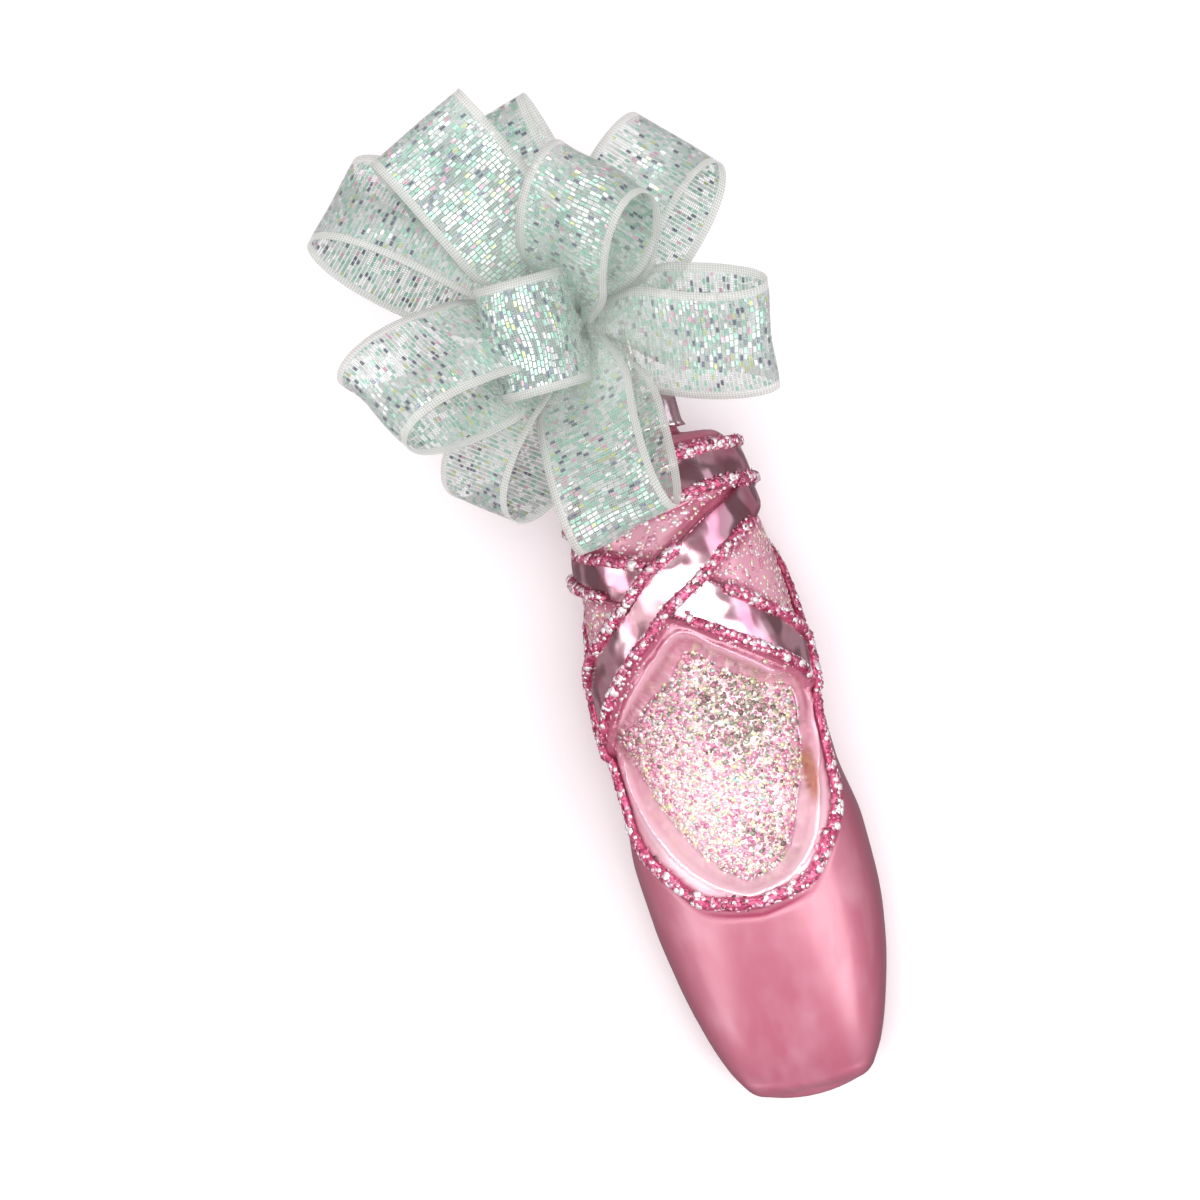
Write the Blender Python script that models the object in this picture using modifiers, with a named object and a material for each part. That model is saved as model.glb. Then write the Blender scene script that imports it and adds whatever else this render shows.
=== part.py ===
"""Ballet pointe shoe, a blown-glass hanging ornament with a ribbon bow.

Metres, +Z up, toe towards -Y. The shoe rests on its sole, and the origin is the middle of its heel's
tread. Along runs from 0 at the toe platform to 1 at the shoulder under the neck. Turn is the angle
round the shoe in degrees: 0 at the crown, 90 at the +X side, 180 at the sole.
"""

import math
from collections import namedtuple

import bmesh
import bpy
from mathutils import Matrix, Vector

# Driving sizes of the glass shoe
SHOE_LENGTH = 0.092
BALL_WIDTH = 0.0324
INSTEP_HEIGHT = 0.0302
GLASS_WALL = 0.001
HEEL_ALONG = 0.739

# The sole, a step in the wall underneath
SOLE_WIDTH = 0.020
SOLE_ARCH = 0.0017
SOLE_EDGE = 0.00025
SOLE_SQUARE = 3.4

# The throat, a dished recess in the instep with a nearly flat floor
THROAT_REACH = 0.0196
THROAT_X = -0.0012
THROAT_ALONG = 0.522
FLOOR_TOE_HEIGHT = 0.0202
FLOOR_ANKLE_HEIGHT = 0.0233
FLOOR_BOW = 0.0100
RIM_OVERCUT = 0.0003
THROAT_SPOKES = 40

# The ribbons moulded round the ankle
RIBBON_WIDTH = 0.0064
RIBBON_RAISE = 0.0009
RIBBON_BEVEL = 0.0003
RIBBON_ROOT = 0.0006
RIBBON_STEP = 10.0
ANKLE_RADIUS = 0.0145

# The neck, its metal cap and the hanger wire
NECK_RADIUS = 0.0042
NECK_LENGTH = 0.0055
NECK_FLARE = 0.0006
NECK_X = -0.0012
NECK_HEIGHT = 0.0182
SHOULDER_RISE = 0.0016
CAP_WALL = 0.0004
CAP_LIP = 0.0004
CAP_STEPS = 28
WIRE_RADIUS = 0.0004
WIRE_EYE_RADIUS = 0.0046
WIRE_LEG_GAP = 0.0016
WIRE_LEG_SPREAD = 0.0023
WIRE_LEG_LENGTH = 0.0032
WIRE_STEM = 0.0011
WIRE_HOLE_RADIUS = 0.00078

# Glitter, laid on as raised lines and as a sheet on the throat's floor
GLITTER_WIDTH = 0.0016
GLITTER_HEIGHT = 0.0007
TOPLINE_GLITTER_WIDTH = 0.0019
SHEET_THICKNESS = 0.0005
SHEET_INSET = 0.0003
CLEARANCE = 0.0003
RELIEF_CLEARANCE = 0.0005

# The ribbon bow
BOW_RIBBON_WIDTH = 0.0159
BOW_RIBBON_THICKNESS = 0.0004
BOW_ASIDE_OF_NECK = -0.0048
BOW_BEYOND_NECK = 0.0120
BOW_ABOVE_NECK = 0.0103
KNOT_RADIUS = 0.0044
TIE_THICKNESS = 0.0005

# How finely the shapes are cut
CRACK = 0.000004
CROWN_COLUMNS = 26
SIDE_COLUMNS = 4
TREAD_COLUMNS = 6
INNER_COLUMNS = 18

Section = namedtuple("Section", "along width shift under side crown square")
SECTIONS = [
    # Lengths as shares of the shoe's length, ball width and instep height
    Section(0.000, 0.457, 0.009, 0.139, 0.258, 0.377, 3.00),
    Section(0.008, 0.518, 0.009, 0.099, 0.258, 0.430, 3.00),
    Section(0.022, 0.570, 0.008, 0.073, 0.255, 0.477, 3.00),
    Section(0.052, 0.667, 0.006, 0.050, 0.252, 0.536, 2.90),
    Section(0.112, 0.790, 0.003, 0.036, 0.252, 0.616, 2.70),
    Section(0.202, 0.914, 0.000, 0.027, 0.265, 0.709, 2.50),
    Section(0.293, 0.981, -0.009, 0.027, 0.285, 0.788, 2.40),
    Section(0.380, 0.994, -0.022, 0.035, 0.325, 0.851, 2.50),
    Section(0.489, 0.920, -0.034, 0.085, 0.375, 0.907, 3.00),
    Section(0.576, 0.914, -0.043, 0.078, 0.405, 0.947, 2.90),
    Section(0.652, 0.920, -0.046, 0.034, 0.435, 0.974, 2.50),
    Section(0.739, 0.883, -0.049, 0.027, 0.477, 0.993, 2.20),
    Section(0.804, 0.840, -0.049, 0.036, 0.517, 1.000, 2.20),
    Section(0.848, 0.802, -0.049, 0.082, 0.550, 0.990, 2.15),
    Section(0.880, 0.772, -0.046, 0.179, 0.576, 0.974, 2.10),
    Section(0.913, 0.735, -0.046, 0.265, 0.596, 0.954, 2.10),
    Section(0.957, 0.685, -0.043, 0.305, 0.603, 0.917, 2.10),
    Section(0.989, 0.648, -0.043, 0.325, 0.603, 0.887, 2.10),
]

Tread = namedtuple("Tread", "along width lift")
SOLE = [
    # Width as a share of the sole's width, lift as a share of the arch's height
    Tread(0.118, 0.28, 0.26),
    Tread(0.134, 0.54, 0.10),
    Tread(0.163, 0.76, 0.00),
    Tread(0.217, 0.92, 0.00),
    Tread(0.293, 1.00, 0.00),
    Tread(0.365, 0.92, 0.00),
    Tread(0.456, 0.74, 0.62),
    Tread(0.543, 0.64, 1.00),
    Tread(0.609, 0.62, 0.45),
    Tread(0.663, 0.66, 0.00),
    Tread(0.739, 0.72, 0.00),
    Tread(0.804, 0.68, 0.00),
    Tread(0.832, 0.52, 0.22),
    Tread(0.850, 0.30, 0.50),
]

Edge = namedtuple("Edge", "turn along")
TOPLINE = [
    # The edge of the shoe, from the throat round the sides to the back of the heel
    Edge(0, 0.299),
    Edge(22, 0.315),
    Edge(40, 0.366),
    Edge(55, 0.413),
    Edge(65, 0.462),
    Edge(74, 0.554),
    Edge(80, 0.618),
    Edge(90, 0.690),
    Edge(110, 0.778),
    Edge(140, 0.840),
    Edge(180, 0.866),
]

Opening = namedtuple("Opening", "turn rim floor")
THROAT = [
    # Round the throat's middle from the toe side: the rim and the floor's edge, as shares of its reach
    Opening(0, 0.995, 0.890),
    Opening(15, 0.985, 0.845),
    Opening(27, 0.934, 0.755),
    Opening(39, 0.867, 0.655),
    Opening(52, 0.776, 0.590),
    Opening(72, 0.700, 0.556),
    Opening(96, 0.704, 0.571),
    Opening(114, 0.780, 0.655),
    Opening(123, 0.821, 0.689),
    Opening(137, 0.719, 0.600),
    Opening(152, 0.735, 0.582),
    Opening(167, 0.791, 0.622),
    Opening(184, 0.918, 0.760),
    Opening(200, 0.816, 0.622),
    Opening(218, 0.745, 0.612),
    Opening(236, 0.735, 0.640),
    Opening(247, 0.775, 0.715),
    Opening(262, 0.668, 0.592),
    Opening(285, 0.668, 0.546),
    Opening(308, 0.709, 0.561),
    Opening(326, 0.790, 0.628),
    Opening(344, 0.900, 0.755),
    Opening(360, 0.995, 0.890),
]

Band = namedtuple("Band", "turn along width lift")
UNDER_RIBBON = [
    # From the back over the left side and down to the right wing, under the front ribbon
    Band(-150, 0.930, 0.80, 0.00),
    Band(-120, 0.905, 0.90, 1.00),
    Band(-90, 0.859, 0.95, 1.00),
    Band(-56, 0.830, 0.95, 1.00),
    Band(-38, 0.817, 1.00, 1.00),
    Band(-13, 0.793, 1.05, 1.00),
    Band(4, 0.767, 1.10, 1.00),
    Band(17, 0.741, 1.15, 1.00),
    Band(42, 0.695, 1.20, 1.00),
    Band(60, 0.665, 1.20, 1.00),
    Band(74, 0.641, 1.20, 0.90),
    Band(94, 0.606, 1.20, -0.15),
]
FRONT_RIBBON = [
    # From the left wing up over the instep to the right side of the ankle
    Band(-94, 0.570, 1.40, -0.15),
    Band(-74, 0.622, 1.40, 0.90),
    Band(-58, 0.660, 1.35, 1.00),
    Band(-38, 0.705, 1.15, 1.00),
    Band(-20, 0.747, 1.05, 1.30),
    Band(-5, 0.785, 1.00, 1.55),
    Band(12, 0.817, 1.00, 1.45),
    Band(32, 0.850, 0.95, 1.15),
    Band(65, 0.884, 0.90, 1.00),
    Band(100, 0.908, 0.85, 1.00),
    Band(140, 0.924, 0.80, 0.00),
]
ANKLE_WRAP = [
    # Once round the top of the ankle
    Band(-180, 0.938, 1.05, 1.30),
    Band(-90, 0.927, 1.10, 1.30),
    Band(-45, 0.930, 1.10, 1.30),
    Band(0, 0.938, 1.10, 1.30),
    Band(40, 0.948, 1.05, 1.50),
    Band(90, 0.946, 1.05, 1.50),
    Band(180, 0.938, 1.05, 1.30),
]

Shoulder = namedtuple("Shoulder", "inward rise")
SHOULDER = [
    # From the last section in to the neck: share of the way in, and of the shoulder's rise
    Shoulder(0.10, 0.40),
    Shoulder(0.30, 0.70),
    Shoulder(0.65, 0.86),
    Shoulder(0.93, 1.00),
]

Line = namedtuple("Line", "name ribbon side first last")
RIBBON_LINES = [
    # Glitter along the ribbons' edges; side -1 is the edge nearer the toe
    Line("glitter_front_ribbon_toe_edge", "front", -1, -62, 58),
    Line("glitter_front_ribbon_neck_edge", "front", 1, -78, 4),
    Line("glitter_under_ribbon_left_toe_edge", "under", -1, -84, -44),
    Line("glitter_under_ribbon_left_neck_edge", "under", 1, -62, -16),
    Line("glitter_under_ribbon_right_toe_edge", "under", -1, 8, 60),
    Line("glitter_under_ribbon_right_neck_edge", "under", 1, 29, 82),
    Line("glitter_ankle_wrap_toe_edge", "wrap", -1, -180, 180),
    Line("glitter_ankle_wrap_neck_edge", "wrap", 1, -180, 180),
]
EDGE_INSET = 0.0009

Loop = namedtuple("Loop", "turn reach opening rise roll")
BOW_LOOPS = [
    # Turn from +Y towards +X; reach and opening as shares of the ribbon's width; rise and roll in degrees
    Loop(-27, 2.18, 0.50, 10, -8),
    Loop(-15, 1.96, 0.50, -6, 8),
    Loop(-52, 2.36, 0.66, 2, -38),
    Loop(-101, 2.18, 0.62, 34, -38),
    Loop(42, 1.78, 0.62, 4, 28),
    Loop(108, 1.78, 0.52, 20, -28),
    Loop(22, 1.62, 0.66, 38, 32),
    Loop(-97, 1.15, 0.66, 58, 6),
    Loop(178, 2.12, 0.46, 30, -24),
    Loop(-140, 1.80, 0.62, 6, -50),
]
LOOP_STEPS = 12
LOOP_WAIST = 0.34


def ease(share):
    """0 to 1 with no slope at either end."""
    share = min(max(share, 0.0), 1.0)
    return share * share * (3.0 - 2.0 * share)


def read(table, column, at):
    """A table's column at a place between its rows, on a smooth curve that never overshoots a row."""
    key = [row[0] for row in table]
    value = [getattr(row, column) for row in table]
    at = min(max(at, key[0]), key[-1])
    i = max(k for k in range(len(key) - 1) if key[k] <= at)
    slope = [(value[k + 1] - value[k]) / (key[k + 1] - key[k]) for k in range(len(key) - 1)]

    def tangent(k):
        if k == 0 or k == len(key) - 1:
            return slope[min(k, len(slope) - 1)]
        before, after = slope[k - 1], slope[k]
        return 2.0 * before * after / (before + after) if before * after > 0.0 else 0.0

    span = key[i + 1] - key[i]
    t = (at - key[i]) / span
    return (
        value[i] * (1.0 + 2.0 * t) * (1.0 - t) ** 2
        + span * tangent(i) * t * (1.0 - t) ** 2
        + value[i + 1] * t * t * (3.0 - 2.0 * t)
        + span * tangent(i + 1) * t * t * (t - 1.0)
    )


def y_at(along):
    return (along - HEEL_ALONG) * SHOE_LENGTH


def section_at(along):
    """The cross-section's middle x, half width, heights of its underside, side and crown, and squareness."""
    return (
        read(SECTIONS, "shift", along) * BALL_WIDTH,
        read(SECTIONS, "width", along) * BALL_WIDTH / 2.0,
        read(SECTIONS, "under", along) * INSTEP_HEIGHT,
        read(SECTIONS, "side", along) * INSTEP_HEIGHT,
        read(SECTIONS, "crown", along) * INSTEP_HEIGHT,
        read(SECTIONS, "square", along),
    )


def skin(along, turn, lift=0.0):
    """A point of the plain last, lifted square to its cross-section."""
    middle, half, under, side, crown, square = section_at(along)
    across, up = math.sin(math.radians(turn)), math.cos(math.radians(turn))
    tall = crown - side if up >= 0.0 else side - under
    square = square if up >= 0.0 else SOLE_SQUARE
    x = math.copysign(abs(across) ** (2.0 / square), across)
    z = math.copysign(abs(up) ** (2.0 / square), up)
    out = Vector((
        math.copysign(abs(x) ** (square - 1.0) / half, x),
        0.0,
        math.copysign(abs(z) ** (square - 1.0) / tall, z),
    )).normalized()
    return Vector((middle + half * x, y_at(along), side + tall * z)) + out * lift


def ribbon_half(band, turn):
    """Half a ribbon's width, measured along the shoe, as a share of the shoe's length."""
    slope = (read(band, "along", turn + 1.0) - read(band, "along", turn - 1.0)) * SHOE_LENGTH
    tilt = math.atan2(slope, 2.0 * math.radians(1.0) * ANKLE_RADIUS)
    return read(band, "width", turn) * RIBBON_WIDTH / 2.0 / math.cos(tilt) / SHOE_LENGTH


def relief(along, turn):
    """How far the ribbons' tops stand over the last at a place."""
    turn = (turn + 180.0) % 360.0 - 180.0
    height = 0.0
    for band in (UNDER_RIBBON, FRONT_RIBBON, ANKLE_WRAP):
        if band[0].turn <= turn <= band[-1].turn:
            beyond = abs(along - read(band, "along", turn)) - ribbon_half(band, turn)
            cover = ease(1.0 - beyond * SHOE_LENGTH / GLITTER_WIDTH)
            height = max(height, cover * read(band, "lift", turn) * RIBBON_RAISE)
    return height


def outer(along, turn):
    """A point of the glass's outer face, on a ribbon if one passes there."""
    return skin(along, turn, relief(along, turn))


def crown_height(point):
    """Height of the plain last over a point."""
    middle, half, under, side, crown, square = section_at(point.y / SHOE_LENGTH + HEEL_ALONG)
    share = min(1.0, abs(point.x - middle) / half)
    return side + (crown - side) * (1.0 - share ** square) ** (1.0 / square)


def floor_height(point):
    """Height of the throat's floor under or over a point."""
    near = y_at(THROAT_ALONG) - THROAT_REACH
    share = (point.y - near) / (2.0 * THROAT_REACH)
    slope = FLOOR_TOE_HEIGHT + (FLOOR_ANKLE_HEIGHT - FLOOR_TOE_HEIGHT) * share
    return slope - FLOOR_BOW * ((point.x - THROAT_X) / THROAT_REACH) ** 2


def throat_point(turn, distance):
    """A point at this distance from the throat's middle, at height 0."""
    x = THROAT_X + distance * math.sin(math.radians(turn))
    return Vector((x, y_at(THROAT_ALONG) - distance * math.cos(math.radians(turn)), 0.0))


def throat_mesh(name, grown):
    """The solid that hollows the throat, or that one grown by a wall, which the inside keeps clear of."""
    over_all = 1.5 * INSTEP_HEIGHT
    turns = [360.0 * i / THROAT_SPOKES for i in range(THROAT_SPOKES)]
    rings = [[], []]
    for turn in turns:
        rim = read(THROAT, "rim", turn) * THROAT_REACH
        edge = throat_point(turn, rim)
        height = crown_height(edge)
        spot = throat_point(turn, rim + RIM_OVERCUT + grown)
        rings[0].append(Vector((spot.x, spot.y, over_all)))
        rings[1].append(Vector((spot.x, spot.y, height + 2.0 * RIM_OVERCUT)))
    for share in (0.25, 0.5, 0.75, 1.0):
        ring = []
        for turn in turns:
            rim = read(THROAT, "rim", turn) * THROAT_REACH
            floor = read(THROAT, "floor", turn) * THROAT_REACH
            spot = throat_point(turn, blend(rim, floor, share) + grown)
            high = crown_height(throat_point(turn, rim))
            low = floor_height(throat_point(turn, floor))
            spot.z = blend(high, low, ease(share)) - grown
            ring.append(spot)
        rings.append(ring)
    for share in (0.7, 0.3):
        ring = []
        for turn in turns:
            spot = throat_point(turn, (read(THROAT, "floor", turn) * THROAT_REACH + grown) * share)
            spot.z = floor_height(spot) - grown
            ring.append(spot)
        rings.append(ring)
    return loft(name, rings)


def tread(along):
    """Half width and height of the sole's underside, or None past its ends."""
    if not SOLE[0].along <= along <= SOLE[-1].along:
        return None
    return (
        read(SOLE, "width", along) * SOLE_WIDTH / 2.0,
        read(SOLE, "lift", along) * SOLE_ARCH,
    )


def sole_turn(along, x):
    """The turn at which the underside has this distance from the middle."""
    half = section_at(along)[1]
    return 180.0 - math.degrees(math.asin(min(0.9, x / half) ** (SOLE_SQUARE / 2.0)))


def outer_ring(along):
    """One ring of the outer face: the crown, the sides, and the sole as a step in the wall."""
    crown = [-90.0 + 180.0 * i / CROWN_COLUMNS for i in range(CROWN_COLUMNS + 1)]
    ring = [skin(along, turn) for turn in crown]
    nearest = min(max(along, SOLE[0].along), SOLE[-1].along)
    half, height = tread(nearest)
    edge = sole_turn(along, half + SOLE_EDGE)
    side = [90.0 + (edge - 90.0) * i / SIDE_COLUMNS for i in range(1, SIDE_COLUMNS + 1)]
    ring += [skin(along, turn) for turn in side]
    middle = section_at(along)[0]
    for i in range(TREAD_COLUMNS + 1):
        x = half * (1.0 - 2.0 * i / TREAD_COLUMNS)
        if along == nearest:
            ring.append(Vector((middle + x, y_at(along), height)))
        else:
            turn = 180.0 - math.copysign(180.0 - sole_turn(along, abs(x)), x)
            ring.append(skin(along, turn))
    ring += [skin(along, -turn) for turn in reversed(side)]
    return ring


def inner_ring(along):
    """One ring of the inner face."""
    return [skin(along, 360.0 * i / INNER_COLUMNS, -GLASS_WALL) for i in range(INNER_COLUMNS)]


def ribbon_turns(band):
    count = round((band[-1].turn - band[0].turn) / RIBBON_STEP)
    return [band[0].turn + (band[-1].turn - band[0].turn) * i / count for i in range(count + 1)]


def ribbon_mesh(name, band):
    """A ribbon's solid, from inside the glass's wall to its top."""
    rings = []
    joined = band[-1].turn - band[0].turn >= 360
    turns = ribbon_turns(band)
    for turn in turns[:-1] if joined else turns:
        along = read(band, "along", turn)
        half = ribbon_half(band, turn)
        top = read(band, "lift", turn) * RIBBON_RAISE
        bevel = min(RIBBON_BEVEL, (top + RIBBON_ROOT) / 2.0)
        inset = bevel / SHOE_LENGTH
        rings.append([
            skin(along - half, turn, -RIBBON_ROOT),
            skin(along - half, turn, top - bevel),
            skin(along - half + inset, turn, top),
            skin(along, turn, top),
            skin(along + half - inset, turn, top),
            skin(along + half, turn, top - bevel),
            skin(along + half, turn, -RIBBON_ROOT),
            skin(along, turn, -RIBBON_ROOT),
        ])
    return loft(name, rings, joined)


def neck_ring(radius, y, ring):
    """A ring of the neck whose points face those of another ring."""
    middle = Vector((NECK_X, y, NECK_HEIGHT))
    out = [Vector((p.x - middle.x, 0.0, p.z - middle.z)).normalized() for p in ring]
    return [middle + d * radius for d in out]


def shoulder_rings(ring, radius, rise, start):
    """Rings from the last section in to the neck."""
    base = neck_ring(radius, start, ring)
    return [
        [
            Vector((*(p.lerp(q, step.inward)).xz, 0.0)).xzy + Vector((0.0, start + step.rise * rise, 0.0))
            for p, q in zip(ring, base)
        ]
        for step in SHOULDER
    ]


def outer_stations():
    """Where the outer rings lie: close together at the toe's edge and at the sole's ends."""
    toe = [0.0, 0.004, 0.012, 0.024, 0.045, 0.075]
    vamp = [SOLE[0].along - 0.003, SOLE[0].along, 0.134, 0.163, 0.195, 0.235]
    instep = [0.275 + 0.040 * i for i in range(14)]
    heel = [0.827, SOLE[-1].along, SOLE[-1].along + 0.003, 0.870, 0.895]
    ankle = [0.925, 0.957, SECTIONS[-1].along]
    return toe + vamp + instep + heel + ankle


def inner_stations():
    toe = [GLASS_WALL / SHOE_LENGTH, 0.022, 0.060]
    return toe + [0.110 + 0.0529 * i for i in range(17)]


def blend(first, second, share):
    return first + (second - first) * share


def add_object(name, mesh, material, collection):
    obj = bpy.data.objects.new(name, mesh)
    mesh.materials.append(material)
    collection.objects.link(obj)
    return obj


def mesh_from(bm, name):
    """A mesh with its faces pointing out, shaded smooth but for its sharp edges."""
    bmesh.ops.recalc_face_normals(bm, faces=bm.faces)
    mesh = bpy.data.meshes.new(name)
    bm.to_mesh(mesh)
    bm.free()
    mesh.shade_smooth()
    mesh.set_sharp_from_angle(angle=math.radians(50.0))
    return mesh


def bridge(bm, first, second):
    """Faces between two rings; the second may have a point for every second one of the first."""
    step = len(first) // len(second)
    for i in range(len(second)):
        here, following = second[i], second[(i + 1) % len(second)]
        edge = [first[(i * step + k) % len(first)] for k in range(step + 1)]
        bm.faces.new(edge + [following, here])


def loft(name, rings, joined=False):
    """A closed mesh through rings of points, capped at both ends or joined end to end."""
    bm = bmesh.new()
    made = [[bm.verts.new(p) for p in ring] for ring in rings]
    for first, second in zip(made, made[1:]):
        bridge(bm, first, second)
    if joined:
        bridge(bm, made[-1], made[0])
    else:
        for ring in (made[0], made[-1]):
            middle = bm.verts.new(sum((v.co for v in ring), Vector()) / len(ring))
            for i in range(len(ring)):
                bm.faces.new((ring[i], ring[(i + 1) % len(ring)], middle))
    return mesh_from(bm, name)


def glass_outside_mesh():
    """The glass filled solid, from the toe to the neck's mouth."""
    rings = [outer_ring(along) for along in outer_stations()]
    start = y_at(SECTIONS[-1].along)
    neck_start = start + SHOULDER_RISE
    rings += shoulder_rings(rings[-1], NECK_RADIUS, SHOULDER_RISE, start)
    rings += [neck_ring(NECK_RADIUS, y, rings[-1]) for y in (neck_start + NECK_FLARE, mouth_y())]
    return loft("glass_shoe", rings)


def glass_inside_mesh():
    """The hollow in the glass, from the toe out past the neck's mouth."""
    rings = [inner_ring(along) for along in inner_stations()]
    start = rings[-1][0].y
    rise = y_at(SECTIONS[-1].along) + SHOULDER_RISE - GLASS_WALL - start
    bore = NECK_RADIUS - GLASS_WALL
    rings += shoulder_rings(rings[-1], bore, rise, start)
    rings.append(neck_ring(bore, mouth_y() + GLASS_WALL, rings[-1]))
    return loft("inside", rings)


def mouth_y():
    return y_at(SECTIONS[-1].along) + SHOULDER_RISE + NECK_LENGTH


def add_helper(name, mesh, material, helpers):
    helper = add_object(name, mesh, material, helpers)
    helper.hide_render = True
    helper.display_type = "WIRE"
    return helper


def combine(obj, operation, other):
    boolean = obj.modifiers.new(other.name, "BOOLEAN")
    boolean.operation = operation
    boolean.object = other


def face_islands(bm):
    """The mesh's faces, in groups that share edges."""
    left = set(bm.faces)
    islands = []
    while left:
        island = {left.pop()}
        rim = list(island)
        while rim:
            near = {face for at in rim for edge in at.edges for face in edge.link_faces} & left
            left -= near
            island |= near
            rim = list(near)
        islands.append(island)
    return islands


def keep_outside(obj):
    """Apply an object's modifiers, and fill the pockets and cracks that they left inside it."""
    evaluated = obj.evaluated_get(bpy.context.evaluated_depsgraph_get())
    bm = bmesh.new()
    bm.from_mesh(evaluated.to_mesh())
    evaluated.to_mesh_clear()
    obj.modifiers.clear()
    bmesh.ops.triangulate(bm, faces=bm.faces)
    bmesh.ops.dissolve_degenerate(bm, dist=CRACK, edges=bm.edges)
    islands = face_islands(bm)
    largest = max(islands, key=len)
    pockets = [face for island in islands if island is not largest for face in island]
    bmesh.ops.delete(bm, geom=pockets, context="FACES")
    bm.to_mesh(obj.data)
    bm.free()
    obj.data.shade_smooth()
    obj.data.set_sharp_from_angle(angle=math.radians(50.0))


def add_glass(material, collection, helpers):
    """The blown glass: the last with its ribbons joined on, its throat sunk in and its inside hollowed."""
    glass = add_object("glass_shoe", glass_outside_mesh(), material, collection)
    for name, band in (("front", FRONT_RIBBON), ("under", UNDER_RIBBON), ("wrap", ANKLE_WRAP)):
        ribbon = add_helper(f"{name}_ribbon_piece", ribbon_mesh(name, band), material, helpers)
        combine(glass, "UNION", ribbon)
    combine(glass, "DIFFERENCE", add_helper("throat_cutter", throat_mesh("throat", 0.0), material, helpers))
    inside = add_helper("inside_cutter", glass_inside_mesh(), material, helpers)
    grown = throat_mesh("throat_wall", GLASS_WALL)
    combine(inside, "DIFFERENCE", add_helper("throat_wall_piece", grown, material, helpers))
    combine(glass, "DIFFERENCE", inside)
    keep_outside(glass)


def glitter_sheet_mesh():
    """The sheet of glitter on the throat's floor, with a rounded rim."""
    rounds, spokes = (0.30, 0.70, 1.00), THROAT_SPOKES

    def ring(share, lift):
        points = []
        for i in range(spokes):
            turn = 360.0 * i / spokes
            out = (read(THROAT, "floor", turn) * THROAT_REACH - SHEET_INSET) * share
            point = throat_point(turn, out)
            point.z = floor_height(point) + CLEARANCE + lift
            points.append(point)
        return points

    under = [ring(share, 0.0) for share in rounds]
    over = [ring(share, SHEET_THICKNESS) for share in rounds[:-1]]
    return loft("glitter_sheet", under + over[::-1])


def glitter_ring(places, i, joined, width):
    """A glitter line's cross-section at one of its places: flat underneath and domed on top."""

    def point(k):
        k = k % (len(places) - 1) if joined else min(max(k, 0), len(places) - 1)
        return outer(*places[k])

    along, turn = places[i]
    ahead = (point(i + 1) - point(i - 1)).normalized()
    small = 0.001
    by_turn = skin(along, turn + 2.0) - skin(along, turn - 2.0)
    by_along = skin(along + small, turn) - skin(along - small, turn)
    up = by_along.cross(by_turn).normalized()
    if up.dot(skin(along, turn, 1.0) - skin(along, turn)) < 0.0:
        up.negate()
    aside = ahead.cross(up).normalized()
    low, high = RELIEF_CLEARANCE, RELIEF_CLEARANCE + GLITTER_HEIGHT
    shape = ((-0.5, low), (0.5, low), (0.36, (low + 2.0 * high) / 3.0), (0.0, high), (-0.36, (low + 2.0 * high) / 3.0))
    return [point(i) + aside * across * width + up * rise for across, rise in shape]


def glitter_line_mesh(name, places, joined, width):
    count = len(places) - 1 if joined else len(places)
    return loft(name, [glitter_ring(places, i, joined, width) for i in range(count)], joined)


def topline_places():
    """The topline all the way round: from the throat's front to the heel and back."""
    turns = [0, 7, 14, 22, 30, 38, 46, 53, 59, 64, 68, 72, 75, 78, 81, 84, 88, 95, 105, 117, 130, 145, 162, 180]
    half = [(read(TOPLINE, "along", turn), float(turn)) for turn in turns]
    return half + [(along, -turn) for along, turn in reversed(half[:-1])]


def ribbon_places(line):
    band = {"front": FRONT_RIBBON, "under": UNDER_RIBBON, "wrap": ANKLE_WRAP}[line.ribbon]
    places = []
    for turn in ribbon_turns(band):
        if line.first - 0.01 <= turn <= line.last + 0.01:
            half = ribbon_half(band, turn) * (1.0 - 2.0 * EDGE_INSET / (read(band, "width", turn) * RIBBON_WIDTH))
            places.append((read(band, "along", turn) + line.side * half, turn))
    return places


def turned(name, profile, steps):
    """A closed profile of radius and height turned about the neck's axis, as an object with a Screw modifier."""
    mesh = bpy.data.meshes.new(name)
    points = [(r, 0.0, h) for r, h in profile]
    mesh.from_pydata(points, [(i, (i + 1) % len(points)) for i in range(len(points))], [])
    return mesh


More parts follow.
